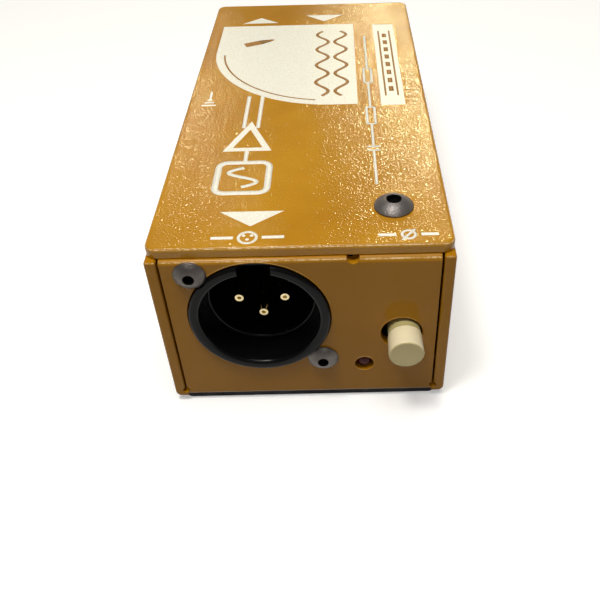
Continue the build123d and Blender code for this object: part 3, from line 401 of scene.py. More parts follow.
def flatSolid(outlines, base, thickness):  # closed thin plates on a level face, outlines in mm
    shape = bmesh.new()
    for outline in outlines:
        lower = [shape.verts.new((x * mm, y * mm, base * mm)) for x, y in outline]
        upper = [shape.verts.new((x * mm, y * mm, (base + thickness) * mm)) for x, y in outline]
        shape.faces.new(upper)
        shape.faces.new(list(reversed(lower)))
        for i in range(len(outline)):
            j = (i + 1) % len(outline)
            shape.faces.new((lower[i], lower[j], upper[j], upper[i]))
    bmesh.ops.triangulate(shape, faces=[f for f in shape.faces if len(f.verts) > 4], ngon_method="EAR_CLIP")
    return meshFrom("flatSolid", shape, smooth=False)


def pathMesh(paths, height, lift=0.0):  # edges only, each path a little above the one before
    points, edges = [], []
    for index, path in enumerate(paths):
        first = len(points)
        points += [(x * mm, y * mm, (height + index * lift) * mm) for x, y in path]
        edges += [(first + i, first + i + 1) for i in range(len(path) - 1)]
    mesh = bpy.data.meshes.new("paths")
    mesh.from_pydata(points, edges, [])
    return mesh


def pointMesh(points):
    mesh = bpy.data.meshes.new("points")
    mesh.from_pydata([tuple(p) for p in points], [], [])
    return mesh


def islands(node, weld=1e-6):  # boxes of a CAD node's loose solids
    shape = bmesh.new()
    shape.from_mesh(nodes[node].data)
    bmesh.ops.remove_doubles(shape, verts=shape.verts, dist=weld)
    left, boxes = set(shape.verts), []
    while left:
        front, island = [left.pop()], []
        while front:
            vert = front.pop()
            island.append(vert.co.copy())
            for edge in vert.link_edges:
                other = edge.other_vert(vert)
                if other in left:
                    left.discard(other)
                    front.append(other)
        low = Vector([min(co[i] for co in island) for i in range(3)])
        high = Vector([max(co[i] for co in island) for i in range(3)])
        boxes.append((low, high))
    shape.free()
    return sorted(boxes, key=lambda pair: tuple(round(c, 5) for c in pair[0]))


# geometry node helpers
def newTree(name, sockets):
    tree = bpy.data.node_groups.new(name, "GeometryNodeTree")
    tree.interface.new_socket("Geometry", in_out="OUTPUT", socket_type="NodeSocketGeometry")
    for label, kind in sockets:
        tree.interface.new_socket(label, in_out="INPUT", socket_type="NodeSocket" + kind)
    return tree, tree.nodes.new("NodeGroupInput").outputs


def addStep(tree, kind, inputs=None, **settings):
    node = tree.nodes.new(kind)
    for key, value in settings.items():
        setattr(node, key, value)
    for key, value in (inputs or {}).items():
        if isinstance(value, list):
            for socket in value:
                tree.links.new(socket, node.inputs[key])
        elif isinstance(value, bpy.types.NodeSocket):
            tree.links.new(value, node.inputs[key])
        else:
            node.inputs[key].default_value = value
    return node.outputs


def endTree(tree, geometry, material):
    solid = addStep(tree, "GeometryNodeRealizeInstances", {"Geometry": geometry})["Geometry"]
    painted = addStep(tree, "GeometryNodeSetMaterial", {"Geometry": solid, "Material": material})["Geometry"]
    tree.links.new(painted, tree.nodes.new("NodeGroupOutput").inputs["Geometry"])


def grow(name, tree, values, mesh=None, smooth=True):  # runs a tree once and keeps its plain mesh
    holder = addObject(name + "Holder", mesh or bpy.data.meshes.new(name + "Base"))
    modifier = holder.modifiers.new("grow", "NODES")
    modifier.node_group = tree
    for item in tree.interface.items_tree:
        if item.in_out == "INPUT" and item.name in values:
            modifier[item.identifier] = values[item.name]
    depsgraph = bpy.context.evaluated_depsgraph_get()
    plain = bpy.data.meshes.new_from_object(holder.evaluated_get(depsgraph), depsgraph=depsgraph)
    holder.modifiers.remove(modifier)
    bpy.data.objects.remove(holder)
    if smooth:
        smoothOver(plain)
    return addObject(name, plain)


def sweepOf(tree, curve, section, capped=True):  # a section carried along a curve
    values = {"Curve": curve, "Profile Curve": section, "Fill Caps": capped}
    return addStep(tree, "GeometryNodeCurveToMesh", values)["Mesh"]


def circleOf(tree, radius, resolution):
    values = {"Resolution": resolution, "Radius": radius}
    return addStep(tree, "GeometryNodeCurvePrimitiveCircle", values)["Curve"]


def spiralOf(tree, radius, given, resolution):
    values = {"Resolution": resolution, "Rotations": given["Turns"], "Height": given["Reach"]}
    values.update({"Start Radius": radius, "End Radius": radius})
    return addStep(tree, "GeometryNodeCurveSpiral", values)["Curve"]


def setDown(tree, geometry, given):
    values = {"Geometry": geometry, "Translation": given["Place"], "Rotation": given["Turn"]}
    return addStep(tree, "GeometryNodeTransform", values)["Geometry"]


def copiesOn(tree, points, piece, given):  # the piece on every point, turned
    turnOf = addStep(tree, "FunctionNodeEulerToRotation", {"Euler": given["Turn"]})["Rotation"]
    values = {"Points": points, "Instance": piece, "Rotation": turnOf}
    return addStep(tree, "GeometryNodeInstanceOnPoints", values)["Instances"]


# tree: a turned part with a helical thread, set down in a row
threadTree, given = newTree(
    "threadedParts",
    [
        ("Geometry", "Geometry"),
        ("Thread Radius", "Float"),
        ("Thread Size", "Float"),
        ("Turns", "Float"),
        ("From", "Float"),
        ("Reach", "Float"),
        ("Start", "Vector"),
        ("Step", "Vector"),
        ("Count", "Int"),
        ("Turn", "Vector"),
        ("Finish", "Material"),
    ],
)
spiral = spiralOf(threadTree, given["Thread Radius"], given, 40)
thread = sweepOf(threadTree, spiral, circleOf(threadTree, given["Thread Size"], 4))
fromPlace = addStep(threadTree, "ShaderNodeCombineXYZ", {"Z": given["From"]})["Vector"]
thread = addStep(threadTree, "GeometryNodeTransform", {"Geometry": thread, "Translation": fromPlace})["Geometry"]
wholePart = addStep(threadTree, "GeometryNodeJoinGeometry", {"Geometry": [given["Geometry"], thread]})["Geometry"]
row = addStep(
    threadTree,
    "GeometryNodeMeshLine",
    {"Count": given["Count"], "Start Location": given["Start"], "Offset": given["Step"]},
)["Mesh"]
endTree(threadTree, copiesOn(threadTree, row, wholePart, given), given["Finish"])

# tree: a flat band that follows every path
strokeTree, given = newTree(
    "strokes",
    [("Geometry", "Geometry"), ("Width", "Float"), ("Thickness", "Float"), ("Finish", "Material")],
)
line = addStep(strokeTree, "GeometryNodeMeshToCurve", {"Mesh": given["Geometry"]})["Curve"]
line = addStep(strokeTree, "GeometryNodeSetCurveNormal", {"Curve": line}, mode="Z_UP")["Curve"]
section = addStep(
    strokeTree,
    "GeometryNodeCurvePrimitiveQuadrilateral",
    {"Width": given["Width"], "Height": given["Thickness"]},
)["Curve"]
endTree(strokeTree, sweepOf(strokeTree, line, section), given["Finish"])

# tree: a bead of coat round a hole's edge
beadTree, given = newTree(
    "coatBead",
    [("Radius", "Float"), ("Bead", "Float"), ("Place", "Vector"), ("Turn", "Vector"), ("Finish", "Material")],
)
rim = circleOf(beadTree, given["Radius"], 128)
bead = sweepOf(beadTree, rim, circleOf(beadTree, given["Bead"], 12), capped=False)
endTree(beadTree, setDown(beadTree, bead, given), given["Finish"])

# tree: a coil spring along an axis
coilTree, given = newTree(
    "coilSpring",
    [
        ("Radius", "Float"),
        ("Wire", "Float"),
        ("Turns", "Float"),
        ("Reach", "Float"),
        ("Place", "Vector"),
        ("Turn", "Vector"),
        ("Finish", "Material"),
    ],
)
coilLine = spiralOf(coilTree, given["Radius"], given, 32)
coil = sweepOf(coilTree, coilLine, circleOf(coilTree, given["Wire"], 12))
endTree(coilTree, setDown(coilTree, coil, given), given["Finish"])

# tree: one small turned piece on every point
scatterTree, given = newTree(
    "onPoints",
    [
        ("Geometry", "Geometry"),
        ("Low Radius", "Float"),
        ("High Radius", "Float"),
        ("Tall", "Float"),
        ("Sides", "Int"),
        ("Turn", "Vector"),
        ("Finish", "Material"),
    ],
)
cone = addStep(
    scatterTree,
    "GeometryNodeMeshCone",
    {
        "Vertices": given["Sides"],
        "Radius Top": given["High Radius"],
        "Radius Bottom": given["Low Radius"],
        "Depth": given["Tall"],
    },
)["Mesh"]
spots = addStep(scatterTree, "GeometryNodeMeshToPoints", {"Mesh": given["Geometry"]})["Points"]
endTree(scatterTree, copiesOn(scatterTree, spots, cone, given), given["Finish"])
print("trees ready")


# places read off the frame, in mm
def boxOf(name):
    low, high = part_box(name)
    return [c / mm for c in low], [c / mm for c in high]


def middleOf(name):
    low, high = boxOf(name)
    return [(a + b) / 2 for a, b in zip(low, high)]


lidLow, lidHigh = boxOf("top_lid")
lidTop, lidFront = lidHigh[2], lidLow[1]
frontFace = boxOf("base_tray")[0][1] + 0.15  # the front panel sits a little behind the wall ends
rearFace = -frontFace
xlrX, _, xlrZ = middleOf("xlr_insert")
phaseX, _, phaseZ = middleOf("phase_button_cap")
ledX, _, ledZ = middleOf("power_led")
thruX, _, jackZ = middleOf("thru_jack_bushing")
inputX = middleOf("input_jack_bushing")[0]

# screws: domed head, hexagon socket, helical thread
buttonScrews = {
    "lidScrew": {
        "head": 3.33,
        "rim": 0.34,
        "height": 1.85,
        "socket": 2.15,
        "deep": 1.1,
        "shank": 1.75,
        "length": 9.0,
        "pitch": 0.79,
        "start": (middleOf("lid_screw")[0], middleOf("lid_screw")[1], lidTop),
        "step": (0, 0, 0),
        "count": 1,
        "turn": (0, 0, 0.35),
        "finish": "gunSteel",
        "node": "lid_screw",
    },
    "xlrScrews": {
        "head": 2.7,
        "rim": 0.26,
        "height": 1.5,
        "socket": 1.6,
        "deep": 0.9,
        "shank": 1.4,
        "length": 8.0,
        "pitch": 0.64,
        "start": (boxOf("xlr_screws")[0][0] + 2.7, frontFace, boxOf("xlr_screws")[1][2] - 2.7),
        "step": (20.8, 0, -20.0),
        "count": 2,
        "turn": (pi / 2, 0, 0),
        "finish": "darkSteel",
        "node": "xlr_screws",
    },
}
screwShape = {
    "sunk": 0.02,  # how far a thread or rim is let in
    "threadDeep": 0.13,
    "thread": 0.15,
    "tipIn": 0.25,
    "tipTall": 0.3,
    "plain": 1.2,  # shank without thread
    "threadFrom": 0.5,
    "headRound": 0.06,
    "domeSteps": 14,
    "rimShare": 1.28,  # of the socket's half width, as the other shares
    "lipShare": 1.2,
    "lipDrop": 0.04,
    "mouthDrop": 0.08,
    "floorRise": 0.12,
    "floorShare": 0.93,
    "floorDip": 0.05,
    # the painted shade in a socket: from a little below its floor, out to this share of its half width
    "shadeBelow": 0.1,
    "shadeShare": 1.24,
}
for screwName, setup in buttonScrews.items():
    head, height, length = setup["head"], setup["height"], setup["length"]
    core, dome = setup["shank"] - screwShape["threadDeep"], height - setup["rim"]
    socket, socketFloor = setup["socket"] / 2, height - setup["deep"]
    domeRadius = (head**2 + dome**2) / (2 * dome)
    profile = [(0, -length), (core - screwShape["tipIn"], -length), (core, screwShape["tipTall"] - length)]
    profile += [(core, 0), (head - screwShape["headRound"], 0), (head, screwShape["headRound"])]
    profile += [(head, setup["rim"] - screwShape["sunk"])]
    for step in range(1, screwShape["domeSteps"] + 1):
        radius = head - (head - socket * screwShape["rimShare"]) * step / screwShape["domeSteps"]
        profile.append((radius, height - domeRadius + sqrt(domeRadius**2 - radius**2)))
    profile.append((socket * screwShape["lipShare"], profile[-1][1] - screwShape["lipDrop"]))
    hexFrom, lip = len(profile), profile[-1][1]
    profile += [(socket, lip - screwShape["mouthDrop"]), (socket, socketFloor + screwShape["floorRise"])]
    profile += [(socket * screwShape["floorShare"], socketFloor), (0, socketFloor - screwShape["floorDip"])]
    screwPiece = grow(
        screwName,
        threadTree,
        {
            "Thread Radius": (core - screwShape["sunk"]) * mm,
            "Thread Size": screwShape["thread"] * mm,
            "Turns": (length - screwShape["plain"]) / setup["pitch"],
            "From": (screwShape["threadFrom"] - length) * mm,
            "Reach": (length - screwShape["plain"]) * mm,
            "Start": fromMm(*setup["start"]),
            "Step": fromMm(*setup["step"]),
            "Count": setup["count"],
            "Turn": setup["turn"],
            "Finish": materials[setup["finish"]],
        },
        turnedMesh(screwName, profile, hexFrom),
    )
    # painted shade: the socket's walls and floor take a flat matt black that stands for the shade in the recess
    screwPiece.data.materials.append(materials["socketPaintedShade"])
    shadeSlot = len(screwPiece.data.materials) - 1
    outward = Vector((0, 0, 1)) if setup["turn"][0] == 0 else Vector((0, -1, 0))
    for face in screwPiece.data.polygons:
        for index in range(setup["count"]):
            offset = face.center / mm - Vector(setup["start"]) - index * Vector(setup["step"])
            along = offset.dot(outward)
            across = (offset - along * outward).length
            inSocket = socketFloor - screwShape["shadeBelow"] < along < lip
            if inSocket and across < socket * screwShape["shadeShare"]:
                face.material_index = shadeSlot
    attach(screwPiece, "case")
    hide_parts(setup["node"])
print("screws made")

# threaded jack bushings
jackBushing = {
    "bore": 3.25,
    "core": 4.6,
    "thread": 0.15,
    "sunk": 0.02,
    "pitch": 0.75,
    "proud": 5.6,
    "inside": 3.9,
    "chamfer": 0.35,
    "threadFrom": -1.8,
    "threadPast": 1.2,
}
bore, core, proud, inside, chamfer = (jackBushing[key] for key in ("bore", "core", "proud", "inside", "chamfer"))
profile = [(bore, -inside), (core, -inside), (core, proud - chamfer), (core - chamfer, proud)]
profile += [(bore + chamfer, proud), (bore, proud - chamfer), (bore, -inside)]
threadReach = proud + jackBushing["threadPast"]
bushingPiece = grow(
    "jackBushings",
    threadTree,
    {
        "Thread Radius": (core - jackBushing["sunk"]) * mm,
        "Thread Size": jackBushing["thread"] * mm,
        "Turns": threadReach / jackBushing["pitch"],
        "From": jackBushing["threadFrom"] * mm,
        "Reach": threadReach * mm,
        "Start": fromMm(thruX, rearFace, jackZ),
        "Step": fromMm(inputX - thruX, 0, 0),
        "Count": 2,
        "Turn": (-pi / 2, 0, 0),
        "Finish": materials["nickel"],
    },
    turnedMesh("jackBushing", profile),
)
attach(bushingPiece, "case")
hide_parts("thru_jack_bushing", "input_jack_bushing")
print("jack bushings made")

# phase button's cap
phaseCap = {
    "root": 2.95,
    "front": 3.0,
    "collar": 2.85,
    "proud": 5.2,
    "back": 3.0,
    "chamfer": 0.1,
    "groove": 0.14,  # between the collar and the shoulder
    "grooveFrom": (0.75, 0.82),
    "shoulder": 1.02,
    "rootFrom": 1.1,
    "edge": 0.28,
    "dish": ((2.35, 0.02), (1.4, 0.08), (0, 0.12)),  # radius and depth
    "pocket": 1.45,
    "pocketEnd": 2.0,
}
collar, back, proud, edge = (phaseCap[key] for key in ("collar", "back", "proud", "edge"))
neck = collar - phaseCap["groove"]
profile = [(phaseCap["pocket"], -back), (collar - phaseCap["chamfer"], -back), (collar, phaseCap["chamfer"] - back)]
profile += [(collar, phaseCap["grooveFrom"][0]), (neck, phaseCap["grooveFrom"][1]), (neck, phaseCap["shoulder"])]
profile += [(phaseCap["root"], phaseCap["rootFrom"])]
profile += roundOf(phaseCap["front"] - edge, proud - edge, edge, 0, 90, 8)
profile += [(radius, proud - depth) for radius, depth in phaseCap["dish"]]
capMesh = turnedMesh("phaseCap", profile)
shape = bmesh.new()
shape.from_mesh(capMesh)
backVerts = [v for v in shape.verts if abs(v.co.z + back * mm) < 1e-6]
mouth = sorted((v for v in backVerts if v.co.xy.length < (phaseCap["pocket"] + 0.05) * mm), key=lambda v: v.index)
pocket = [shape.verts.new((v.co.x, v.co.y, phaseCap["pocketEnd"] * mm)) for v in mouth]
for i in range(len(mouth)):
    j = (i + 1) % len(mouth)
    shape.faces.new((mouth[i], mouth[j], pocket[j], pocket[i]))
shape.faces.new(pocket)
bmesh.ops.recalc_face_normals(shape, faces=shape.faces)
shape.to_mesh(capMesh)
shape.free()
capMesh.transform(Matrix.Translation(fromMm(phaseX, frontFace, phaseZ)) @ Matrix.Rotation(pi / 2, 4, "X"))
smoothOver(capMesh)
capPiece = addObject("phaseCap", capMesh, "buttonIvory")
for finish in ("collarIvory", "shadedFaceIvory"):
    capMesh.materials.append(materials[finish])
for face in capMesh.polygons:  # the collar is a little darker than the side; the face is darker as painted shade, since it faces away from the light
    out = frontFace - face.center.y / mm
    if out < phaseCap["shoulder"]:
        face.material_index = 1
    elif out > proud - edge / 2:
        face.material_index = 2
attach(capPiece, "phase_button")
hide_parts("phase_button_cap")
print("phase cap made")

# return spring of the phase button, a coil as long as the CAD spring
springLow, springHigh = boxOf("phase_return_spring")
returnSpring = {"wire": 0.2, "turns": 7}
wire = returnSpring["wire"]
springX, _, springZ = middleOf("phase_return_spring")
springPiece = grow(
    "returnSpring",
    coilTree,
    {
        "Radius": ((springHigh[0] - springLow[0]) / 2 - wire) * mm,
        "Wire": wire * mm,
        "Turns": float(returnSpring["turns"]),
        "Reach": (springHigh[1] - springLow[1] - 2 * wire) * mm,
        "Place": fromMm(springX, springLow[1] + wire, springZ),
        "Turn": (-pi / 2, 0, 0),
        "Finish": materials["springSteel"],
    },
)
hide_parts("phase_return_spring")
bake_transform(springPiece)
print("return spring made")

# beads of coat round the holes' edges
holeBeads = {
    "xlrHoleBead": {"radius": 12.28, "bead": 0.16, "place": (xlrX, frontFace + 0.1, xlrZ)},
    "phaseHoleBead": {"radius": 3.75, "bead": 0.14, "place": (phaseX - 0.45, frontFace + 0.08, phaseZ)},
    "ledHoleBead": {"radius": 1.8, "bead": 0.14, "place": (ledX, frontFace + 0.08, ledZ)},
    "thruHoleBead": {"radius": 4.95, "bead": 0.12, "place": (thruX, rearFace - 0.08, jackZ)},
    "inputHoleBead": {"radius": 4.95, "bead": 0.12, "place": (inputX, rearFace - 0.08, jackZ)},
}
for beadName, setup in holeBeads.items():
    values = {"Radius": setup["radius"] * mm, "Bead": setup["bead"] * mm, "Place": fromMm(*setup["place"])}
    beadPiece = grow(beadName, beadTree, {**values, "Turn": (pi / 2, 0, 0), "Finish": materials["shadedTrayCoat"]})
    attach(beadPiece, "case")
print("hole beads made")


# printing on the lid: plain shapes and symbols in one white and one brown ink
def arcPath(x, y, radius, start, end, steps=24):
    angles = [radians(start + (end - start) * i / steps) for i in range(steps + 1)]
    return [(x + radius * cos(a), y + radius * sin(a)) for a in angles]


def wavePath(x, yFrom, yTo, swing, cycles, steps=80):  # along the box
    run = [i / steps for i in range(steps + 1)]
    return [(x + swing * sin(2 * pi * cycles * t), yFrom + (yTo - yFrom) * t) for t in run]


def boxPath(x1, y1, x2, y2, corner):
    path = []
    for index, (x, y) in enumerate(((x2, y2), (x1, y2), (x1, y1), (x2, y1))):
        middleX = x - corner if x == x2 else x + corner
        middleY = y - corner if y == y2 else y + corner
        path += arcPath(middleX, middleY, corner, 90 * index, 90 * index + 90, 6)
    return path + [path[0]]


def plate(x1, y1, x2, y2):
    return [(x1, y1), (x2, y1), (x2, y2), (x1, y2)]


def triangleFrame(corners, width):  # three mitred bars
    sides = [Vector(corners[(i + 2) % 3]) - Vector(corners[(i + 1) % 3]) for i in range(3)]
    around = sum(side.length for side in sides)
    middle = sum((Vector(corner) * side.length for corner, side in zip(corners, sides)), Vector((0, 0))) / around
    inside = abs(sides[0].x * sides[1].y - sides[0].y * sides[1].x) / around  # inscribed circle
    inner = [middle + (Vector(corner) - middle) * (1 - width / inside) for corner in corners]
    return [[corners[i], corners[(i + 1) % 3], tuple(inner[(i + 1) % 3]), tuple(inner[i])] for i in range(3)]


def fromFront(distance):  # along the lid, from its front edge
    return lidFront + distance


def runOf(x, start, end):  # a straight stroke along the lid
    return [(x, fromFront(start)), (x, fromFront(end))]


whiteThick, brownThick = 0.02, 0.012
inkSunk = 0.01  # plates reach this far into what they lie on

# white: a field with one round corner, a strip, arrows, and marks for the connectors
leafField = {"left": -21.8, "right": 10.5, "near": 46.6, "far": 88.8, "round": 27.0}
leafMiddle = (leafField["left"] + leafField["round"], fromFront(leafField["near"]) + leafField["round"])
leaf = runOf(leafField["right"], leafField["near"], leafField["far"])
leaf += [(leafField["left"], fromFront(leafField["far"]))]
leaf += arcPath(*leafMiddle, leafField["round"], 180, 270, 48)
xlrMark = {
    "place": (-8.4, -48.95),
    "ring": 1.45,
    "dots": ((-9.05, -48.45), (-7.75, -48.45), (-8.4, -49.45)),
    "dot": 0.3,
    "dashX": ((-14.3, -10.7), (-6.1, -2.5)),
    "dashY": (-49.3, -48.6),
}
phaseMark = {
    "place": (17.4, -49.05),
    "ring": 1.05,
    "slash": [(16.3, -50.4), (18.5, -47.7)],
    "dashX": ((12.6, 15.4), (19.4, 22.2)),
    "dashY": (-49.4, -48.7),
}
whiteShapes = [
    leaf,
    plate(15.3, fromFront(45.9), 20.3, fromFront(88.0)),
    [(-13.6, -41.86), (-8.2, -45.97), (-2.84, -41.86)],
    [(-17.1, fromFront(90.5)), (-8.3, fromFront(90.5)), (-12.8, fromFront(94.0))],
    [(-1.4, fromFront(95.0)), (3.2, fromFront(91.0)), (8.0, fromFront(95.0))],
]
whiteShapes += [arcPath(*dot, xlrMark["dot"], 0, 360, 20)[:-1] for dot in xlrMark["dots"]]
for mark in (xlrMark, phaseMark):
    whiteShapes += [plate(x1, mark["dashY"][0], x2, mark["dashY"][1]) for x1, x2 in mark["dashX"]]
whiteShapes += triangleFrame([(-15.4, fromFront(29.0)), (-6.2, fromFront(29.0)), (-10.8, fromFront(40.2))], 1.2)

# white lines, by width: rings, slash, box, wave, leads and the signal line with its plain parts
signalX = 13.0
signalLine = [runOf(signalX, 17.0, 28.0)]
signalLine += [[(signalX - 1.2, fromFront(y)), (signalX + 1.2, fromFront(y))] for y in (28.3, 29.6)]
signalLine += [runOf(signalX, 29.9, 38.0)]
for near, far, following in ((38.2, 45.0, 56.0), (56.2, 63.0, 81.0)):  # a box, then a run to the next
    signalLine.append(boxPath(signalX - 0.8, fromFront(near), signalX + 0.8, fromFront(far), 0.2))
    signalLine.append(runOf(signalX, far + 0.2, following))
rings = [arcPath(*mark["place"], mark["ring"], 0, 360, 40) for mark in (xlrMark, phaseMark)]
waveLead = [wavePath(-10.8, fromFront(17.0), fromFront(23.2), 2.6, 1), runOf(-10.8, 25.4, 29.2)]
whiteLines = [
    (0.5, rings),
    (0.45, [phaseMark["slash"]]),
    (1.2, [boxPath(-15.4, fromFront(15.2), -6.2, fromFront(25.0), 1.6)]),
    (0.8, waveLead + [runOf(-12.2, 37.6, 51.0), runOf(-9.4, 37.6, 51.0)]),
    (0.5, signalLine),
]

# brown on the white: waves, an arc, a ruled row of dashes and a plug
brownWaves = [wavePath(x, fromFront(50.5), fromFront(84.5), swing, 4) for x, swing in ((3.0, 1.35), (7.2, -1.35))]
stripRules = [runOf(x, 50.0, 84.0) for x in (16.5, 19.1)]
brownLines = [
    (0.75, brownWaves),
    (0.4, [arcPath(*leafMiddle, 25.0, 184, 262, 40)] + stripRules),
    (1.0, [runOf(17.8, 52.0 + 4 * i, 54.2 + 4 * i) for i in range(8)]),
]
plugMark = {"middle": (-12.2, fromFront(78.6)), "turn": radians(24), "body": 1.1, "pin": 0.45}
plugHalf = [(-3.6, plugMark["body"]), (0.4, plugMark["body"]), (0.4, plugMark["pin"]), (3.4, plugMark["pin"])]
plugOutline = [(x, -y) for x, y in plugHalf] + [(3.9, 0.0)] + plugHalf[::-1]
plug = [
    (
        plugMark["middle"][0] + x * cos(plugMark["turn"]) - y * sin(plugMark["turn"]),
        plugMark["middle"][1] + x * sin(plugMark["turn"]) + y * cos(plugMark["turn"]),
    )
    for x, y in plugOutline
]


def inkLines(name, finish, index, width, paths, height, thickness):
    values = {"Width": width * mm, "Thickness": thickness * mm, "Finish": materials[finish]}
    return grow(f"{name}_{index}", strokeTree, values, pathMesh(paths, height, 0.003), smooth=False)


whitePlates = flatSolid(whiteShapes, lidTop - inkSunk, whiteThick + inkSunk)
inkPieces = [addObject("whiteInkShapes", whitePlates, "whiteInk")]
for index, (width, paths) in enumerate(whiteLines, start=1):  # each width a hair above the one before
    height = lidTop + whiteThick / 2 - 0.004 + 0.001 * index
    inkPieces.append(inkLines("whiteInkLines", "whiteInk", index, width, paths, height, whiteThick))
brownBase = lidTop + whiteThick
plugPlate = flatSolid([plug], brownBase - inkSunk / 2, brownThick + inkSunk / 2)
inkPieces.append(addObject("plugMark", plugPlate, "brownInk"))
for index, (width, paths) in enumerate(brownLines, start=1):
    height = brownBase + brownThick / 2 - 0.002
    inkPieces.append(inkLines("brownInkLines", "brownInk", index, width, paths, height, brownThick))
for piece in inkPieces:
    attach(piece, "case")
print("lid printed")

# ground mark beside the lift switch, as bars and a stem
groundBars = [(-21.9, -18.9, 47.2), (-21.4, -19.4, 48.4), (-20.9, -19.9, 49.6)]
barShapes = [plate(x1, fromFront(y), x2, fromFront(y) + 0.5) for x1, x2, y in groundBars]
barShapes.append(plate(-20.6, fromFront(50.1), -20.2, fromFront(53.5)))
groundMark = addObject("groundMark", flatSolid(barShapes, lidTop - inkSunk, whiteThick + inkSunk), "whiteInk")
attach(groundMark, "case")


# board: solder at every lead, colour bands, stripes and vents
def leadEnds(node, spread=1.2, slack=0.02):  # middles of a node's lowest points
    points = nodes[node].data.vertices
    lowest = min(v.co.z for v in points)
    groups = []
    for vert in points:
        if vert.co.z > lowest + slack * mm:
            continue
        for group in groups:
            if (vert.co.xy - group[0].xy).length < spread * mm:
                group.append(vert.co.copy())
                break
        else:
            groups.append([vert.co.copy()])
    return [sum(group, Vector()) / len(group) for group in groups]


boardBottom = boxOf("circuit_board")[0][2]
leadNodes = ["component_leads", "resistor_leads", "op_amp_pins", "phase_switch_terminals", "lift_switch_terminals"]
leadNodes += ["led_leads", "xlr_pin_1", "xlr_pin_2", "xlr_pin_3", "xlr_ground_lug"]
solder = {"foot": 0.95, "tip": 0.4, "tall": 1.05, "sunk": 0.02}
solderZ = boardBottom - solder["tall"] / 2 + solder["sunk"]
solderSpots = [(end.x, end.y, solderZ * mm) for node in leadNodes for end in leadEnds(node)]


def scatter(name, points, low, high, tall, sides, finish, turn=(0, 0, 0)):  # sizes in mm
    values = {"Low Radius": low * mm, "High Radius": high * mm, "Tall": tall * mm}
    values.update({"Sides": sides, "Turn": turn, "Finish": finish})
    return grow(name, scatterTree, values, pointMesh(points))


solderPiece = scatter(
    "solderJoints", solderSpots, solder["tip"], solder["foot"], solder["tall"], 20, materials["solder"]
)
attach(solderPiece, "case")

resistorBands = {
    "wide": 0.5,
    "proud": 0.02,
    "sides": 32,
    "roughness": 0.35,
    "places": {
        "brownBand": (-2.1, "5B3520"),
        "blackBand": (-1.1, "141414"),
        "redBand": (-0.1, "A3261E"),
        "goldBand": (1.6, "B08A3C"),
    },
}
resistorBoxes = islands("resistors")
firstSpan = resistorBoxes[0][1] - resistorBoxes[0][0]
bandRadius = firstSpan.z / 2 / mm + resistorBands["proud"]
bandTurn = (0, pi / 2, 0) if firstSpan.x > firstSpan.y else (pi / 2, 0, 0)
for bandName, (shift, colour) in resistorBands["places"].items():
    spots = []
    for low, high in resistorBoxes:
        centre = (low + high) / 2
        along = 0 if high.x - low.x > high.y - low.y else 1
        centre[along] += shift * mm
        spots.append(centre)
    bandFinish = makePlain(bandName, {"colour": colour, "roughness": resistorBands["roughness"]})
    bandPiece = scatter(
        bandName, spots, bandRadius, bandRadius, resistorBands["wide"], resistorBands["sides"], bandFinish, bandTurn
    )
    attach(bandPiece, "case")

canTop = {"radius": 2.9, "foot": 3.0, "thick": 0.06, "lift": 0.005}
canVent = {"reach": 2.2, "width": 0.25, "thick": 0.05, "lift": 0.04}
canTops = []
for low, high in islands("filter_capacitors"):
    canTops.append(((low.x + high.x) / 2, (low.y + high.y) / 2, high.z + canTop["lift"] * mm))
canTopPiece = scatter(
    "canTops", canTops, canTop["foot"], canTop["radius"], canTop["thick"], 48, materials["zincSteel"]
)
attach(canTopPiece, "case")
ventPaths = []
for spot in canTops:
    x, y = spot[0] / mm, spot[1] / mm
    ventPaths.append([(x - canVent["reach"], y), (x + canVent["reach"], y)])
    ventPaths.append([(x, y - canVent["reach"]), (x, y + canVent["reach"])])
ventPiece = grow(
    "canVents",
    strokeTree,
    {"Width": canVent["width"] * mm, "Thickness": canVent["thick"] * mm, "Finish": materials["blackSteel"]},
    pathMesh(ventPaths, canTops[0][2] / mm + canVent["lift"]),
    smooth=False,
)
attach(ventPiece, "case")
chipLow, chipHigh = boxOf("op_amp")
chipDot = {"in": 1.2, "radius": 0.5, "sunk": 0.01, "thick": 0.03}
dotPath = arcPath(chipLow[0] + chipDot["in"], chipHigh[1] - chipDot["in"], chipDot["radius"], 0, 360)[:-1]
chipPlate = flatSolid([dotPath], chipHigh[2] - chipDot["sunk"], chipDot["thick"])
chipMark = addObject("chipMark", chipPlate, "whiteInk")
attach(chipMark, "case")
print("board dressed")

# grip ribs on the slide switch's handle
handleLow, handleHigh = boxOf("lift_switch_slider")
handleRibs = {"count": 4, "pitch": 0.7, "size": 0.22, "tall": 2.2, "proud": 0.02, "sunk": 0.1}
handleY = (handleLow[1] + handleHigh[1]) / 2
ribPaths = []
for i in range(handleRibs["count"]):
    y = handleY + (i - (handleRibs["count"] - 1) / 2) * handleRibs["pitch"]
    ribPaths.append([(handleLow[0] - handleRibs["proud"], y), (handleLow[0] + handleRibs["sunk"], y)])
ribSizes = {"Width": handleRibs["size"] * mm, "Thickness": handleRibs["tall"] * mm}
ribPiece = grow(
    "handleRibs",
    strokeTree,
    {**ribSizes, "Finish": materials["connectorBlack"]},
    pathMesh(ribPaths, (handleLow[2] + handleHigh[2]) / 2),
    smooth=False,
)
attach(ribPiece, "lift_slider")
print("grip ribs made")

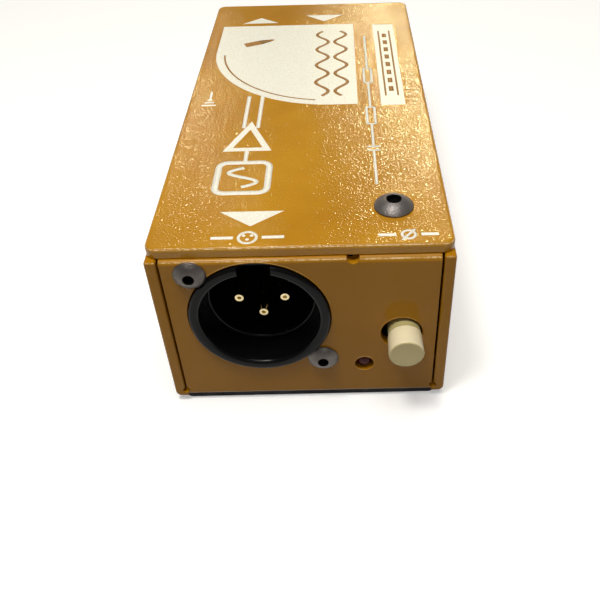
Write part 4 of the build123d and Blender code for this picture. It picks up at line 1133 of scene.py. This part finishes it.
# every slot's finish, on the nodes that keep their CAD shape
slotFinish = {
    "powder_coat": "shadedTrayCoat",
    "pad_rubber": "padRubber",
    "black_screw": "blackSteel",
    "zinc_steel": "zincSteel",
    "tin_plate": "tinPlate",
    "spring_steel": "springSteel",
    "nickel": "nickel",
    "gold_plate": "goldPlate",
    "connector_black": "connectorBlack",
    "jack_black": "jackBlack",
    "switch_blue": "switchBlue",
    "switch_white": "switchWhite",
    "button_ivory": "buttonIvory",
    "lens_dark_red": "lensRed",
    "board_green": "boardGreen",
    "can_sleeve": "canSleeve",
    "film_red": "filmRed",
    "chip_black": "chipBlack",
    "resistor_blue": "resistorBlue",
}
for entry in frame["record"]["subparts"]:
    cadNode = nodes[entry["node"]]
    cadNode.data.materials.clear()
    cadNode.data.materials.append(materials[slotFinish[entry["material_slot"]]])
nodes["top_lid"].data.materials[0] = materials["lidCoat"]
print("finishes on the frame's nodes")

# studio
studio = {
    "floorReach": 4,  # m
    "floorColour": "F2F2F2",
    "floorGlow": (0.32, 0.95),  # near the object and far from it
    "glowReach": (0.2, 0.9),  # m
    "floorBounce": "8F8E8D",
    "floorRoughness": 0.9,
    "worldColour": "E2E2E2",
    "worldStrength": 0.2,
    "horizonStrength": 0.97,
    "horizonRise": (0.0, 0.14),
}
lamps = {
    "overhead": {"place": (0, -100, 640), "size": 400, "power": 1.8, "tint": "FFFEFC"},
    "keyLamp": {"place": (-50, -100, 290), "size": 60, "power": 0.31, "tint": "FFFBF2"},
    "frontStrip": {"place": (0, -470, 465), "size": 320, "tall": 16, "power": 0.22, "tint": "FFFBF2"},
    "rightLamp": {"place": (168, 1008, 624), "size": 75, "power": 1.6, "tint": "FFF3C0"},
    "farLamp": {"place": (72, 1120, 440), "size": 45, "power": 0.6, "tint": "FFF3C0"},
    "leftLamp": {"place": (-280, 1030, 590), "size": 45, "power": 0.7, "tint": "FFF3C0"},
}


def seenDirectly(tree):  # 1 for camera, glossy and transmission rays, else 0
    rays = addNode(tree, "LightPath").outputs
    mirrored = mathOf(tree, rays["Is Glossy Ray"], rays["Is Transmission Ray"])
    return mathOf(tree, rays["Is Camera Ray"], mirrored)


# world: dim for light, with a pale horizon where it is seen
world = bpy.data.worlds.new("studioWorld")
world.use_nodes = True
bpy.context.scene.world = world
worldTree = world.node_tree
background = worldTree.nodes["Background"].inputs
background["Color"].default_value = shade(studio["worldColour"])
direction = addNode(worldTree, "TexCoord").outputs["Generated"]
upward = addNode(worldTree, "SeparateXYZ", {"Vector": direction}).outputs["Z"]
paleness = rangeOf(worldTree, upward, *studio["horizonRise"], studio["horizonStrength"], studio["worldStrength"])
extra = mathOf(worldTree, paleness, -studio["worldStrength"])
brightness = mathOf(worldTree, seenDirectly(worldTree), extra, "MULTIPLY")
worldTree.links.new(mathOf(worldTree, brightness, studio["worldStrength"]), background["Strength"])

# floor: pale paper that gives little light back
reach = studio["floorReach"]
floorMesh = bpy.data.meshes.new("studioFloor")
floorMesh.from_pydata([(x, y, 0) for x, y in plate(-reach, -reach, reach, reach)], [], [(0, 1, 2, 3)])
studioFloor = bpy.data.objects.new("studioFloor", floorMesh)
bpy.context.scene.collection.objects.link(studioFloor)
floorMaterial, tree, surface = newMaterial("studioPaper")
seen = seenDirectly(tree)
floorShade = mixOf(tree, seen, shade(studio["floorBounce"]), shade(studio["floorColour"]))
tree.links.new(floorShade, surface.inputs["Base Color"])
surface.inputs["Roughness"].default_value = studio["floorRoughness"]
surface.inputs["Emission Color"].default_value = shade("FFFFFF")
distance = addNode(tree, "VectorMath", {0: objectCoordinates(tree)}, operation="LENGTH").outputs["Value"]
glow = rangeOf(tree, distance, *studio["glowReach"], *studio["floorGlow"])
tree.links.new(mathOf(tree, seen, glow, "MULTIPLY"), surface.inputs["Emission Strength"])
floorMesh.materials.append(floorMaterial)

for lampName, setup in lamps.items():
    lamp = bpy.data.lights.new(lampName, "AREA")
    lamp.shape = "RECTANGLE" if "tall" in setup else "DISK"
    lamp.size = setup["size"] * mm
    lamp.size_y = setup.get("tall", setup["size"]) * mm
    lamp.energy = setup["power"]
    lamp.color = shade(setup["tint"])[:3]
    lampObject = bpy.data.objects.new(lampName, lamp)
    bpy.context.scene.collection.objects.link(lampObject)
    lampObject.location = fromMm(*setup["place"])
    lampObject.rotation_euler = (-lampObject.location).to_track_quat("-Z", "Y").to_euler()
print("studio lit")
